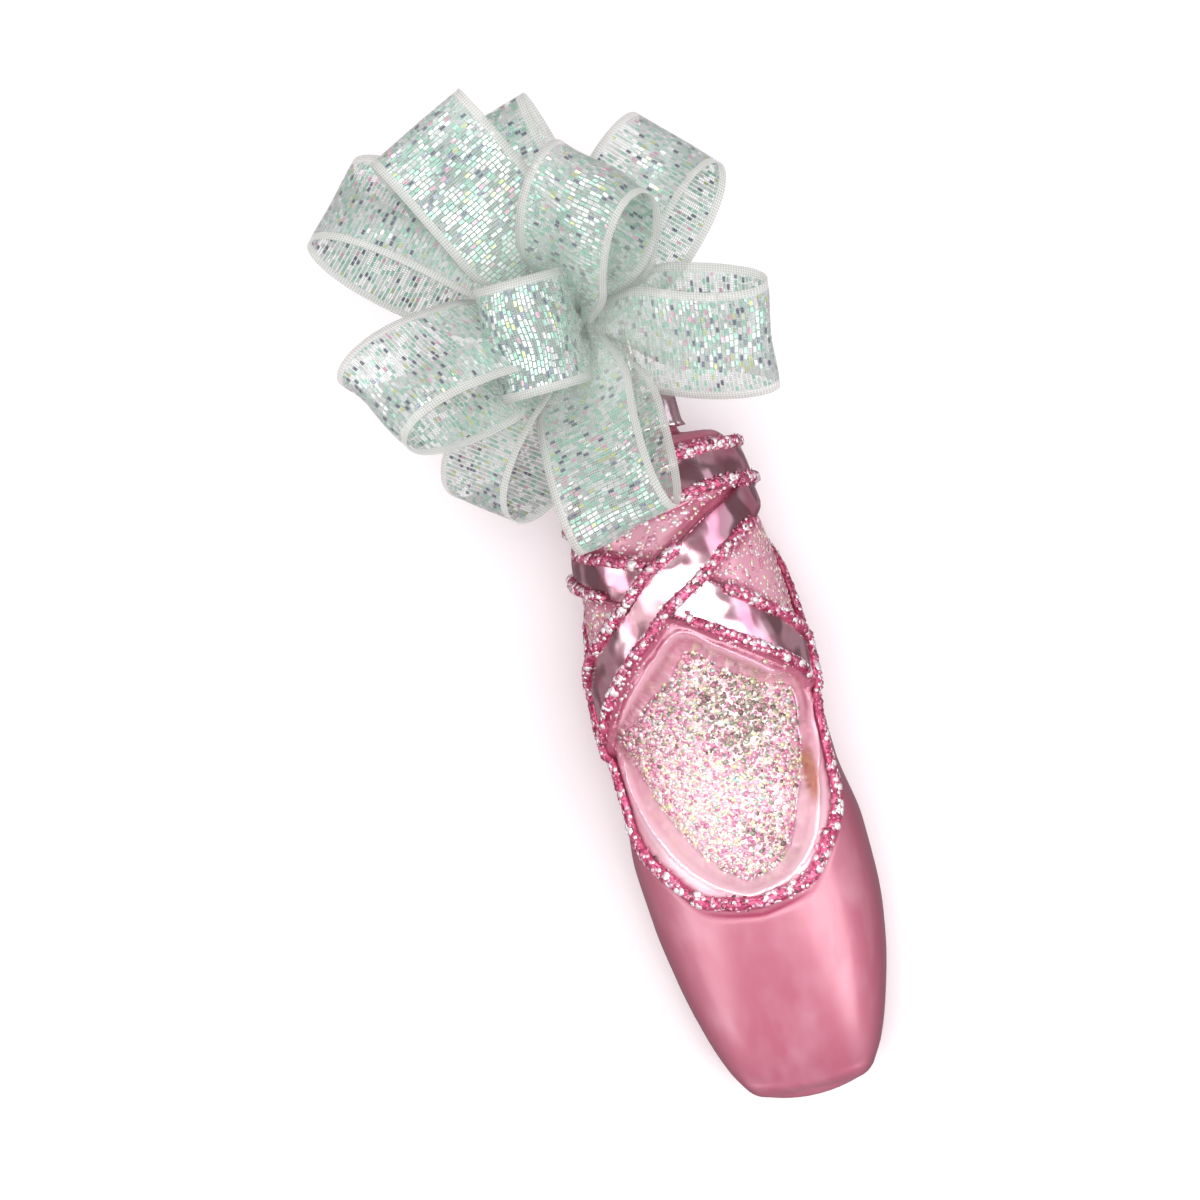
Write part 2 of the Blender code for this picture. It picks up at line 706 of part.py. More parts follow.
def add_cap(material, collection, helpers):
    """The metal cap over the neck, with two holes for the hanger wire."""
    mouth = mouth_y()
    inside = NECK_RADIUS + CLEARANCE
    outside = inside + CAP_WALL
    roof = CLEARANCE
    top = roof + CAP_WALL
    low = -(NECK_LENGTH - NECK_FLARE - CLEARANCE)
    bevel = 2.0 * CAP_WALL
    profile = [
        (0.0, top),
        (outside - bevel, top),
        (outside, top - bevel),
        (outside, low + bevel),
        (outside + CAP_LIP, low),
        (inside, low),
        (inside, roof),
        (0.0, roof),
    ]
    cap = add_object("neck_cap", turned("neck_cap", profile, CAP_STEPS), material, collection)
    screw = cap.modifiers.new("Turn", "SCREW")
    screw.steps = screw.render_steps = CAP_STEPS
    screw.use_merge_vertices = True
    screw.merge_threshold = 0.00002
    screw.use_smooth_shade = True
    place = Matrix.Translation((NECK_X, mouth, NECK_HEIGHT)) @ Matrix.Rotation(math.radians(-90.0), 4, "X")
    cap.matrix_world = place
    for side in (-1, 1):
        bm = bmesh.new()
        bmesh.ops.create_cone(
            bm,
            cap_ends=True,
            segments=12,
            radius1=WIRE_HOLE_RADIUS,
            radius2=WIRE_HOLE_RADIUS,
            depth=8.0 * CAP_WALL,
            matrix=Matrix.Translation((0.0, side * WIRE_LEG_GAP, top)),
        )
        drill = add_helper(f"wire_hole_cutter_{side}", mesh_from(bm, "cutter"), material, helpers)
        drill.matrix_world = place
        combine(cap, "DIFFERENCE", drill)
    return mouth + top


def eye_middle(cap_top):
    return Vector((NECK_X, cap_top + WIRE_STEM + WIRE_EYE_RADIUS, NECK_HEIGHT))


def wire_points(cap_top):
    """The hanger wire's middle line: a leg in the neck, the eye over the cap, and the other leg."""
    middle = eye_middle(cap_top)
    low = cap_top - CAP_WALL
    half_gap = math.asin(WIRE_LEG_GAP / WIRE_EYE_RADIUS)
    turns = [half_gap + (2.0 * math.pi - 2.0 * half_gap) * i / 22 for i in range(23)]
    eye = [
        middle + WIRE_EYE_RADIUS * Vector((0.0, -math.cos(turn), math.sin(turn)))
        for turn in turns
    ]
    ends = []
    for side in (1, -1):
        start = Vector((NECK_X, low - WIRE_LEG_LENGTH, NECK_HEIGHT + side * WIRE_LEG_SPREAD))
        bend = Vector((NECK_X, low - WIRE_RADIUS, NECK_HEIGHT + side * WIRE_LEG_GAP))
        above = Vector((NECK_X, cap_top + WIRE_RADIUS, NECK_HEIGHT + side * WIRE_LEG_GAP))
        ends.append([start, bend, above])
    return ends[0] + eye + ends[1][::-1]


def add_wire(name, points, radius, material, collection):
    curve = bpy.data.curves.new(name, "CURVE")
    curve.dimensions = "3D"
    curve.bevel_depth = radius
    curve.bevel_resolution = 2
    curve.use_fill_caps = True
    spline = curve.splines.new("POLY")
    spline.points.add(len(points) - 1)
    for spot, point in zip(spline.points, points):
        spot.co = (*point, 1.0)
    curve.materials.append(material)
    obj = bpy.data.objects.new(name, curve)
    collection.objects.link(obj)
    return obj


def bow_middle():
    return Vector((
        NECK_X + BOW_ASIDE_OF_NECK,
        mouth_y() + BOW_BEYOND_NECK,
        NECK_HEIGHT + BOW_ABOVE_NECK,
    ))


def bow_loop_mesh(loop):
    """One loop of ribbon: out from the knot, round its end and back underneath."""
    turn, rise, roll = (math.radians(a) for a in (loop.turn, loop.rise, loop.roll))
    level = Vector((math.sin(turn), math.cos(turn), 0.0))
    out = level * math.cos(rise) + Vector((0.0, 0.0, math.sin(rise)))
    aside = Vector((math.cos(turn), -math.sin(turn), 0.0))
    over = aside.cross(out).normalized()
    if over.z < 0.0:
        over.negate()
    across = aside * math.cos(roll) + over * math.sin(roll)
    over = over * math.cos(roll) - aside * math.sin(roll)
    reach, opening = loop.reach * BOW_RIBBON_WIDTH, loop.opening * BOW_RIBBON_WIDTH

    def middle(share):
        angle = 2.0 * math.pi * share
        far = reach * (1.0 - math.cos(angle)) / 2.0
        high = opening * math.sin(angle) * math.sin(angle / 2.0) / 1.54
        apart = BOW_RIBBON_THICKNESS * 1.5 * math.cos(angle / 2.0)
        return bow_middle() + out * far + over * (high + apart)

    rings = []
    for i in range(LOOP_STEPS + 1):
        share = i / LOOP_STEPS
        here = middle(share)
        ahead = (middle(share + 0.01) - middle(share - 0.01)).normalized()
        face = ahead.cross(across).normalized() * BOW_RIBBON_THICKNESS / 2.0
        wide = blend(LOOP_WAIST, 1.0, ease(2.2 * math.sin(math.pi * share) ** 2))
        half = across * wide * BOW_RIBBON_WIDTH / 2.0
        rings.append([here - half - face, here + half - face, here + half + face, here - half + face])
    return loft("bow_loop", rings)


def tie_mesh(cap_top):
    """The tie that holds the bow: a small ring through the hanger's eye."""
    middle = eye_middle(cap_top)
    outward = Vector((0.0, 1.0, 1.0)).normalized()
    spot = middle + outward * WIRE_EYE_RADIUS
    axis = Vector((0.0, 1.0, -1.0)).normalized()
    to_knot = bow_middle() - spot
    to_knot -= axis * to_knot.dot(axis)
    behind = 3.0 * WIRE_RADIUS
    radius = (to_knot.length - KNOT_RADIUS / 2.0 + behind) / 2.0
    to_knot.normalize()
    across = axis.cross(to_knot)
    centre = spot + to_knot * (radius - behind)
    rings = []
    for i in range(16):
        angle = 2.0 * math.pi * i / 16
        out = to_knot * math.cos(angle) + across * math.sin(angle)
        ring = []
        for k in range(6):
            round_it = 2.0 * math.pi * k / 6
            ring.append(
                centre
                + out * (radius + TIE_THICKNESS * math.cos(round_it))
                + axis * TIE_THICKNESS * math.sin(round_it)
            )
        rings.append(ring)
    return loft("bow_tie", rings, joined=True)


def add_bow(cap_top, material, collection, helpers):
    """The bow: every loop and the tie joined to the knot."""
    bm = bmesh.new()
    bmesh.ops.create_uvsphere(
        bm,
        u_segments=12,
        v_segments=8,
        radius=KNOT_RADIUS,
        matrix=Matrix.Translation(bow_middle()),
    )
    bow = add_object("ribbon_bow", mesh_from(bm, "ribbon_bow"), material, collection)
    pieces = [bow_loop_mesh(loop) for loop in BOW_LOOPS] + [tie_mesh(cap_top)]
    for i, mesh in enumerate(pieces):
        combine(bow, "UNION", add_helper(f"bow_piece_{i}", mesh, material, helpers))
    keep_outside(bow)
    return bow


def finish(name, colour, roughness, metallic, transmission=0.0):
    """A Principled material."""
    material = bpy.data.materials.new(name)
    material.use_nodes = True
    shader = material.node_tree.nodes["Principled BSDF"]
    shader.inputs["Base Color"].default_value = (*colour, 1.0)
    shader.inputs["Roughness"].default_value = roughness
    shader.inputs["Metallic"].default_value = metallic
    shader.inputs["Transmission Weight"].default_value = transmission
    material.diffuse_color = (*colour, 1.0)
    return material


def new_collection(name):
    collection = bpy.data.collections.new(name)
    bpy.context.scene.collection.children.link(collection)
    return collection


def build():
    for obj in list(bpy.data.objects):
        bpy.data.objects.remove(obj)
    parts = new_collection("Ballet shoe ornament")
    helpers = new_collection("Cutters and pieces to join")
    glass = finish("Pink lacquered glass", (0.78, 0.30, 0.42), 0.22, 0.75)
    pink_glitter = finish("Pink glitter", (0.80, 0.22, 0.40), 0.35, 0.6)
    pale_glitter = finish("Pearl glitter", (0.93, 0.80, 0.84), 0.35, 0.4)
    metal = finish("Silver metal", (0.80, 0.78, 0.76), 0.2, 1.0)
    ribbon = finish("Sheer ribbon", (0.78, 0.88, 0.83), 0.4, 0.0, 0.4)

    add_glass(glass, parts, helpers)
    add_object("throat_glitter_sheet", glitter_sheet_mesh(), pale_glitter, parts)
    topline = glitter_line_mesh("topline", topline_places(), True, TOPLINE_GLITTER_WIDTH)
    add_object("glitter_topline", topline, pink_glitter, parts)
    for line in RIBBON_LINES:
        joined = line.last - line.first >= 360
        mesh = glitter_line_mesh(line.name, ribbon_places(line), joined, GLITTER_WIDTH)
        add_object(line.name, mesh, pink_glitter, parts)
    cap_top = add_cap(metal, parts, helpers)
    add_wire("hanger_wire", wire_points(cap_top), WIRE_RADIUS, metal, parts)
    add_bow(cap_top, ribbon, parts, helpers)


build()
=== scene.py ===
"""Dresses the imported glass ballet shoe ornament.

It makes the smooth blown glass, the glitter on it, the metal cap and the sheer ribbon bow. Along runs
from 0 at the toe platform to 1 at the shoulder under the neck. Turn is the angle round the shoe in
degrees: 0 at the crown, 90 at the +X side, 180 at the sole.
"""

import math
from collections import namedtuple

import bmesh
import bpy
import numpy as np
from mathutils import Matrix, Vector


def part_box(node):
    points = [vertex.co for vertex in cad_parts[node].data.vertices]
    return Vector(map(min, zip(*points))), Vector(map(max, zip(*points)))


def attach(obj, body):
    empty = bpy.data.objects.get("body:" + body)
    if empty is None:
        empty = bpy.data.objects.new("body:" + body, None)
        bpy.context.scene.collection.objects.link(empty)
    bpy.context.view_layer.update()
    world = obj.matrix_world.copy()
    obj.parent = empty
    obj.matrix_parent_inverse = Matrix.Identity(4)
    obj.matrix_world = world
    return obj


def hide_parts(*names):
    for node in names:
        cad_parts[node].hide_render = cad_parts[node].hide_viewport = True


bl_info = {
    "name": "Glass ballet shoe ornament",
    "version": (1, 0, 0),
    "blender": (4, 5, 0),
    "location": "3D View > Sidebar > Ornament",
    "description": "Makes the visible pieces of a blown-glass ballet shoe ornament with a ribbon bow",
    "category": "Object",
}

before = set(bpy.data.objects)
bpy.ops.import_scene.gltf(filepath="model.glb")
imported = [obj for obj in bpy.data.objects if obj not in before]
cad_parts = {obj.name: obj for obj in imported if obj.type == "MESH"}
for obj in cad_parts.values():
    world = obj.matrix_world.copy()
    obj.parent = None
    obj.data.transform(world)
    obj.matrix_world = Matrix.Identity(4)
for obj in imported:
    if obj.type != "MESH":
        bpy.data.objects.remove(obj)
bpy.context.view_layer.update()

SHOE_LENGTH = 0.092
BALL_WIDTH = 0.0324
INSTEP_HEIGHT = 0.0302
GLASS_WALL = 0.001
HEEL_ALONG = 0.739
SOLE_WIDTH = 0.020
SOLE_ARCH = 0.0017
SOLE_SQUARE = 3.4
SOLE_SOFT = 0.0005
PLATFORM_BULGE = 0.0010
PLATFORM_SHARES = (0.97, 0.92, 0.84, 0.72, 0.58, 0.40, 0.20, 0.0)
RIDGE_HEIGHT = 0.00030
RIDGE_WIDTH = 0.0006
RIDGE_END_TURN = 78.0
RIDGE_FADE_TURN = 40.0
CREASE_PLACE = 0.0019
CREASE_WIDTH = 0.00045
CREASE_DEPTH = 0.00014
THROAT_REACH = 0.0196
THROAT_X = -0.0012
THROAT_ALONG = 0.522
FLOOR_TOE_HEIGHT = 0.0202
FLOOR_ANKLE_HEIGHT = 0.0233
FLOOR_BOW = 0.0100
THROAT_WALL = 1.4 * GLASS_WALL
SHEET_HEIGHT = 0.0007
SHEET_ROOT = 0.0002
SHEET_SQUARE = 10
SHEET_LUMP = 0.0001
RIBBON_WIDTH = 0.0064
RIBBON_RAISE = 0.0009
RIBBON_SOFT = 0.0007
RIBBON_EDGE_SHARE = 0.86
RIBBON_SHOWS_LIFT = 0.3
SHINE_INSET = 0.0003
SHINE_SOFT = 0.0004
ANKLE_RADIUS = 0.0145
ANKLE_DROP = 0.00035
NECK_RADIUS = 0.0042
NECK_LENGTH = 0.0055
NECK_X = -0.0012
NECK_HEIGHT = 0.0182
NECK_RINGS = (0.0006, 0.0012, NECK_LENGTH)
SHOULDER_RISE = 0.0016
CAP_GAP = 0.0003
CAP_SHEET = 0.0004
CAP_STEPS = 120
CAP_FLUTES = 20
CAP_FLUTE_DEPTH = 0.00022
BOW_RIBBON_WIDTH = 0.0159
BOW_ASIDE_OF_NECK = -0.0048
BOW_BEYOND_NECK = 0.0120
BOW_ABOVE_NECK = 0.0103
KNOT_RADIUS = 0.0044
KNOT_SHARE = 0.8
KNOT_PLEATS = 12
KNOT_PLEAT_DEPTH = 0.10
LOOP_WAIST = 0.34
LOOP_SWELL = 1.54
LOOP_PARTING = 0.0005
LOOP_OPENS = 2.2
LOOP_CUP_LEVEL = 0.4
LOOP_WEAVE_SHIFT = 0.317
LOOP_PLEAT = 0.0011
LOOP_CUP = 0.0011
LOOP_WAVE = 0.00035
TIE_BELOW_WIRE_END = 0.0050
TIE_PAST_EYE = 0.0046
TIE_SLACK = 0.0012
TIE_THICKNESS = 0.00042
TIE_PUCKER = 0.00006

CROWN_COLUMNS = 150
UNDER_COLUMNS = 60
INSIDE_RINGS = 30
INSIDE_END = 0.012
LOOP_STEPS = 72
LOOP_WIDE_STEPS = 14
LOOP_MEASURES = 400
TIE_STEPS = 64
TIE_ROUND_STEPS = 12
SHEET_SPOKES = 180
SHEET_ROUNDS = 26
FLAKE_SIDES = 6

CROWN_TURN = 89.0
SOLE_TURN = 100.0
SHOWING_RELIEF = 0.0001
FACING_REACH = 0.0008
FACING_TURN = 1.2
WELD = 0.000001
TINY = 0.000000001

# Cross-sections of the last: widths as shares of the ball's width, heights of the instep's height
Section = namedtuple("Section", "along width shift under side crown square")
SECTIONS = [
    Section(0.000, 0.389, 0.009, 0.150, 0.258, 0.370, 3.00),
    Section(0.0033, 0.451, 0.009, 0.120, 0.258, 0.402, 3.00),
    Section(0.008, 0.500, 0.009, 0.099, 0.258, 0.430, 3.00),
    Section(0.0152, 0.543, 0.009, 0.084, 0.257, 0.457, 3.00),
    Section(0.022, 0.570, 0.008, 0.073, 0.255, 0.477, 3.00),
    Section(0.052, 0.667, 0.006, 0.050, 0.252, 0.536, 2.90),
    Section(0.112, 0.790, 0.003, 0.036, 0.252, 0.616, 2.70),
    Section(0.202, 0.914, 0.000, 0.027, 0.265, 0.709, 2.50),
    Section(0.293, 0.981, -0.009, 0.027, 0.285, 0.788, 2.40),
    Section(0.380, 0.994, -0.022, 0.035, 0.325, 0.851, 2.50),
    Section(0.489, 0.920, -0.034, 0.085, 0.375, 0.907, 3.00),
    Section(0.576, 0.914, -0.043, 0.078, 0.405, 0.947, 2.90),
    Section(0.652, 0.920, -0.046, 0.034, 0.435, 0.974, 2.50),
    Section(0.739, 0.883, -0.049, 0.027, 0.477, 0.993, 2.20),
    Section(0.804, 0.840, -0.049, 0.036, 0.517, 1.000, 2.20),
    Section(0.848, 0.802, -0.049, 0.082, 0.550, 0.990, 2.15),
    Section(0.880, 0.772, -0.046, 0.179, 0.576, 0.974, 2.10),
    Section(0.913, 0.735, -0.046, 0.265, 0.596, 0.954, 2.10),
    Section(0.957, 0.685, -0.043, 0.305, 0.603, 0.917, 2.10),
    Section(0.989, 0.648, -0.043, 0.325, 0.603, 0.887, 2.10),
]

# Where the glass and the topline have their points: closer together where the shape turns faster
Run = namedtuple("Run", "first last count")
RING_RUNS = [
    Run(0.0, 0.0, 1),
    Run(0.0015, 0.0035, 2),
    Run(0.006, 0.048, 22),
    Run(0.051, 0.262, 34),
    Run(0.268, SECTIONS[-1].along, 218),
]
TOPLINE_RUNS = [
    Run(0.0, 60.0, 120),
    Run(60.3, 95.0, 120),
    Run(96.0, 180.0, 80),
]

# The sole's width as a share of its widest, and its height as a share of the arch's
Tread = namedtuple("Tread", "along width lift")
SOLE = [
    Tread(0.118, 0.28, 0.26),
    Tread(0.134, 0.54, 0.10),
    Tread(0.163, 0.76, 0.00),
    Tread(0.217, 0.92, 0.00),
    Tread(0.293, 1.00, 0.00),
    Tread(0.365, 0.92, 0.00),
    Tread(0.456, 0.74, 0.62),
    Tread(0.543, 0.64, 1.00),
    Tread(0.609, 0.62, 0.45),
    Tread(0.663, 0.66, 0.00),
    Tread(0.739, 0.72, 0.00),
    Tread(0.804, 0.68, 0.00),
    Tread(0.832, 0.52, 0.22),
    Tread(0.850, 0.30, 0.50),
]

# The shoe's edge, from the crown round to the sole, and the soft ridge round the toe platform
Edge = namedtuple("Edge", "turn along")
TOPLINE = [
    Edge(0, 0.299),
    Edge(22, 0.315),
    Edge(40, 0.366),
    Edge(55, 0.413),
    Edge(65, 0.462),
    Edge(74, 0.554),
    Edge(80, 0.618),
    Edge(90, 0.690),
    Edge(110, 0.778),
    Edge(140, 0.840),
    Edge(180, 0.866),
]

RIDGE = [
    Edge(-90, 0.034),
    Edge(-55, 0.024),
    Edge(0, 0.0115),
    Edge(50, 0.0170),
    Edge(90, 0.026),
]

# The throat from above, from the toe round: its rim and its floor's edge as shares of its reach
Opening = namedtuple("Opening", "turn rim floor")
THROAT = [
    Opening(0, 0.995, 0.890),
    Opening(15, 0.985, 0.845),
    Opening(27, 0.934, 0.755),
    Opening(39, 0.867, 0.655),
    Opening(52, 0.776, 0.590),
    Opening(72, 0.700, 0.556),
    Opening(96, 0.704, 0.571),
    Opening(114, 0.780, 0.655),
    Opening(123, 0.821, 0.689),
    Opening(137, 0.719, 0.600),
    Opening(152, 0.735, 0.582),
    Opening(167, 0.791, 0.622),
    Opening(184, 0.918, 0.760),
    Opening(200, 0.816, 0.622),
    Opening(218, 0.745, 0.612),
    Opening(236, 0.735, 0.640),
    Opening(247, 0.775, 0.715),
    Opening(262, 0.668, 0.592),
    Opening(285, 0.668, 0.546),
    Opening(308, 0.709, 0.561),
    Opening(326, 0.790, 0.628),
    Opening(344, 0.900, 0.755),
    Opening(360, 0.995, 0.890),
]

# The ribbons' middles round the ankle, with their widths and heights as shares of one ribbon's
Band = namedtuple("Band", "turn along width lift")
UNDER_RIBBON = [
    Band(-150, 0.930, 0.80, 0.00),
    Band(-120, 0.905, 0.90, 1.00),
    Band(-90, 0.859, 0.95, 1.00),
    Band(-56, 0.830, 0.95, 1.00),
    Band(-38, 0.817, 1.00, 1.00),
    Band(-13, 0.793, 1.05, 1.00),
    Band(4, 0.767, 1.10, 1.00),
    Band(17, 0.741, 1.15, 1.00),
    Band(42, 0.695, 1.20, 1.00),
    Band(60, 0.665, 1.20, 1.00),
    Band(74, 0.641, 1.20, 0.90),
    Band(94, 0.606, 1.20, 0.00),
]
FRONT_RIBBON = [
    Band(-94, 0.570, 1.40, 0.00),
    Band(-74, 0.622, 1.40, 0.90),
    Band(-58, 0.660, 1.35, 1.00),
    Band(-38, 0.705, 1.15, 1.00),
    Band(-20, 0.747, 1.05, 1.30),
    Band(-5, 0.785, 1.00, 1.55),
    Band(12, 0.817, 1.00, 1.45),
    Band(32, 0.850, 0.95, 1.15),
    Band(65, 0.884, 0.90, 1.00),
    Band(100, 0.908, 0.85, 1.00),
    Band(140, 0.924, 0.80, 0.00),
]
ANKLE_WRAP = [
    Band(-180, 0.938, 1.05, 1.30),
    Band(-90, 0.927, 1.10, 1.30),
    Band(-45, 0.930, 1.10, 1.30),
    Band(0, 0.938, 1.10, 1.30),
    Band(40, 0.948, 1.05, 1.50),
    Band(90, 0.946, 1.05, 1.50),
    Band(180, 0.938, 1.05, 1.30),
]
BANDS = {"under": UNDER_RIBBON, "front": FRONT_RIBBON, "wrap": ANKLE_WRAP}

# How the glass draws in from the shoulder to the neck, as shares of both ways
Shoulder = namedtuple("Shoulder", "inward rise")
SHOULDER = [
    Shoulder(0.05, 0.24),
    Shoulder(0.12, 0.46),
    Shoulder(0.22, 0.62),
    Shoulder(0.36, 0.74),
    Shoulder(0.55, 0.82),
    Shoulder(0.75, 0.88),
    Shoulder(0.88, 0.94),
    Shoulder(0.95, 1.02),
]

# The cap's profile, in metres from its walls and from its top or its hem
Step = namedtuple("Step", "out up")
CAP_SHOULDER = [Step(-0.0012, 0.0), Step(-0.0004, -0.00015), Step(0.0, -0.0006)]
CAP_HEM = [Step(0.0, 0.0011), Step(0.0001, 0.0006), Step(0.0004, 0.0)]
CAP_HEM_INSIDE = [Step(0.0002, 0.0001), Step(0.0, 0.0008)]

# The glitter lines: a ribbon, which of its edges, and the turns between which it shows
Line = namedtuple("Line", "ribbon side first last")
RIBBON_LINES = [
    Line("front", -1, -68, 62),
    Line("front", 1, -80, 9),
    Line("under", -1, -88, -38),
    Line("under", 1, -66, -10),
    Line("under", -1, 2, 66),
    Line("under", 1, 25, 86),
    Line("wrap", -1, -180, 180),
    Line("wrap", 1, -180, 180),
]
LINE_NODES = {
    "topline": "glitter_topline",
    "under_ribbon": "glitter_under_ribbon",
    "front_ribbon": "glitter_front_ribbon",
    "wrap_ribbon": "glitter_ankle_wrap",
}
EDGE_INSET = 0.0007
LINE_HEIGHT = 0.0008
LINE_ROOT = 0.0003
LINE_SQUARE = 2.6
LINE_TOP_POINTS = 11
LINE_LEAST_STEPS = 30
LINE_STEPS_A_DEGREE = 1.5
LINE_RIDE = 0.0005
LINE_OVERHANG = 1.12
LINE_STEEPEST = 1.6
LINE_LOOSE = 0.00009
LUMP_SHARE = 0.10
TOPLINE_GROWTH = 1.15
SHOULDER_FLAKES = 420
SHOULDER_SPAN = (0.966, 0.988)

# Painted shade and painted light: darker and lighter places on the throat's floor, in metres
Shade = namedtuple("Shade", "x y reach depth")
THROAT_SHADES = [
    Shade(0.0023, -0.0143, 0.0060, 0.62),
    Shade(0.0068, -0.0175, 0.0035, 0.30),
    Shade(0.0015, -0.0315, 0.0030, 0.50),
    Shade(-0.0106, -0.0154, 0.0022, 0.45),
    Shade(-0.0058, -0.0289, 0.0065, -0.30),
    Shade(-0.0030, -0.0210, 0.0040, -0.15),
]
BARE_PATCH = Shade(0.0104, -0.0250, 0.0044, 1.0)
BARE_PATCH_WIDTH = 0.0012
BARE_PATCH_EDGE = 1.3
BARE_PATCH_SOFT = 0.9

# Where the colours of the glass meet, in metres, degrees or shares of the throat's wall
TOPLINE_SOFT = 0.0006
THROAT_SOFT = 0.12
# Painted highlight on the throat's wall: where it starts, and where it is full towards the toe
THROAT_HIGHLIGHT_FROM = 0.003
THROAT_HIGHLIGHT_TO = 0.012
LIP_SOFT = 0.0004
LIP_REACH = 0.30
LIP_FADE = 0.05
ANKLE_SOFT = 0.0010
ANKLE_END = 0.94
ANKLE_FADE = 0.02
ANKLE_PINK = 0.75
# Painted shade: how wide and strong the darker pink is beside the glitter, along the ribbons' edges, in the
# throat's fold and on the toe platform
GROOVE_HALF = 0.0006
GROOVE_FULL = 1.15
GROOVE_PINK = 0.95
EDGE_OUTSIDE = -0.0013
EDGE_INSIDE = 0.0009
EDGE_SOFT = 0.0010
EDGE_PINK = 0.72
FOLD_DEPTH = 0.42
FOLD_WIDTH = 0.16
FOLD_FADE = 0.006
FOLD_PINK = 0.20
FOLD_ANKLE_PINK = 0.45
PLATFORM_SOFT = 0.0008
PLATFORM_PINK = 0.16
# Painted shade down the shoe's sides: where it starts and fades in, in degrees, and how strong it is, less
# towards the sole
SIDE_SHADE_TURN = 42.0
SIDE_SHADE_FADE = 38.0
SIDE_SHADE_SHARE = 0.85
UNDER_TURN = 110.0
UNDER_FADE = 40.0
UNDER_SHARE = 0.30
LACQUER_STREAKS = (230.0, 85.0, 230.0)

SHEER_WARP_PITCH = 0.00033
SHEER_WEFT_PITCH = 0.0004
SELVEDGE_SOFT = 0.0001
# The colours of the shining threads, each from its start to the next one's
Film = namedtuple("Film", "start red green blue")
FILM_TINTS = [
    Film(0.00, 0.90, 0.97, 0.94),
    Film(0.30, 0.46, 0.82, 0.66),
    Film(0.55, 0.70, 0.93, 0.83),
    Film(0.78, 0.24, 0.28, 0.34),
    Film(0.87, 0.90, 0.60, 0.72),
    Film(0.91, 0.72, 0.86, 0.45),
    Film(0.95, 0.95, 0.98, 0.97),
]

# The flakes' colours, each as common as its share
Tint = namedtuple("Tint", "share red green blue")
PEARL_TINTS = [
    Tint(0.27, 0.96, 0.95, 0.84),
    Tint(0.14, 0.88, 0.92, 0.56),
    Tint(0.25, 0.88, 0.54, 0.68),
    Tint(0.17, 0.74, 0.28, 0.45),
    Tint(0.12, 0.98, 0.98, 0.97),
    Tint(0.05, 0.56, 0.78, 0.70),
]
# Painted light: pale flakes for the lit places of the throat's floor
LIGHT_TINTS = [
    Tint(0.60, 0.98, 0.98, 0.90),
    Tint(0.25, 0.93, 0.95, 0.72),
    Tint(0.15, 0.97, 0.86, 0.90),
]
# Painted shade: dim flakes for the shaded places of the throat's floor
SHADE_TINTS = [
    Tint(0.34, 0.36, 0.38, 0.28),
    Tint(0.24, 0.52, 0.26, 0.32),
    Tint(0.22, 0.60, 0.60, 0.42),
    Tint(0.20, 0.24, 0.17, 0.15),
]
PATCH_TINTS = [
    Tint(0.20, 0.95, 0.93, 0.66),
    Tint(0.30, 0.98, 0.95, 0.93),
    Tint(0.36, 0.92, 0.56, 0.68),
    Tint(0.14, 0.74, 0.30, 0.42),
]
# The pink lines' flakes; the white ones stand as painted glints
PINK_TINTS = [
    Tint(0.31, 0.70, 0.20, 0.34),
    Tint(0.27, 0.86, 0.48, 0.60),
    Tint(0.19, 0.42, 0.08, 0.15),
    Tint(0.18, 1.00, 0.96, 0.97),
    Tint(0.05, 0.18, 0.09, 0.10),
]
# Painted highlights: the white flakes on the pink lines stand as glints, grown larger and set a little
# higher
GLINT_FLAKE_PALEST = 0.80
GLINT_FLAKE_GROWTH = 1.35
GLINT_FLAKE_LIFT = 0.00005
PINK_SEED = 11
PEARL_SEED = 23
THROAT_TRIES = 3
PATCH_TRIES = 8
FLAKE_SMALLEST = 0.80
FLAKE_SPREAD = 1.0
FLAKE_SPREAD_POWER = 5
LINE_FLAKE_TILT = 0.13
FLAKE_TILT = 0.12
FLAKE_LIFT = 0.00008
FLAKE_LIFTS = (0.00004, 0.00012)
FLAKE_DEPTH = 0.0001
FLOOR_EDGE_SPREAD = (0.0001, 0.00018)
FLOOR_LEAN = -0.08
PATCH_SPAN = (0.60, 0.94)
PATCH_TURN = 125.0
PATCH_SIDE_TURN = 80.0
PATCH_CLEAR = 0.0012
PATCH_RELIEF = 0.0002
PATCH_THROAT_CLEAR = -0.25
# Painted shade and painted light: the share of dim flakes everywhere, and how strongly the lighter places
# call for pale ones
SHADE_SHARE = 0.10
LIGHT_SHARE = 2.6
UPRIGHT_SHARE = 0.9
PINK_GLUE = ((0.38, 0.03, 0.10), (0.74, 0.17, 0.32))
PEARL_GLUE = ((0.66, 0.30, 0.38), (0.93, 0.78, 0.80))
FLOOR_COLOURS = ((0.93, 0.93, 0.93), (0.95, 0.95, 0.95))

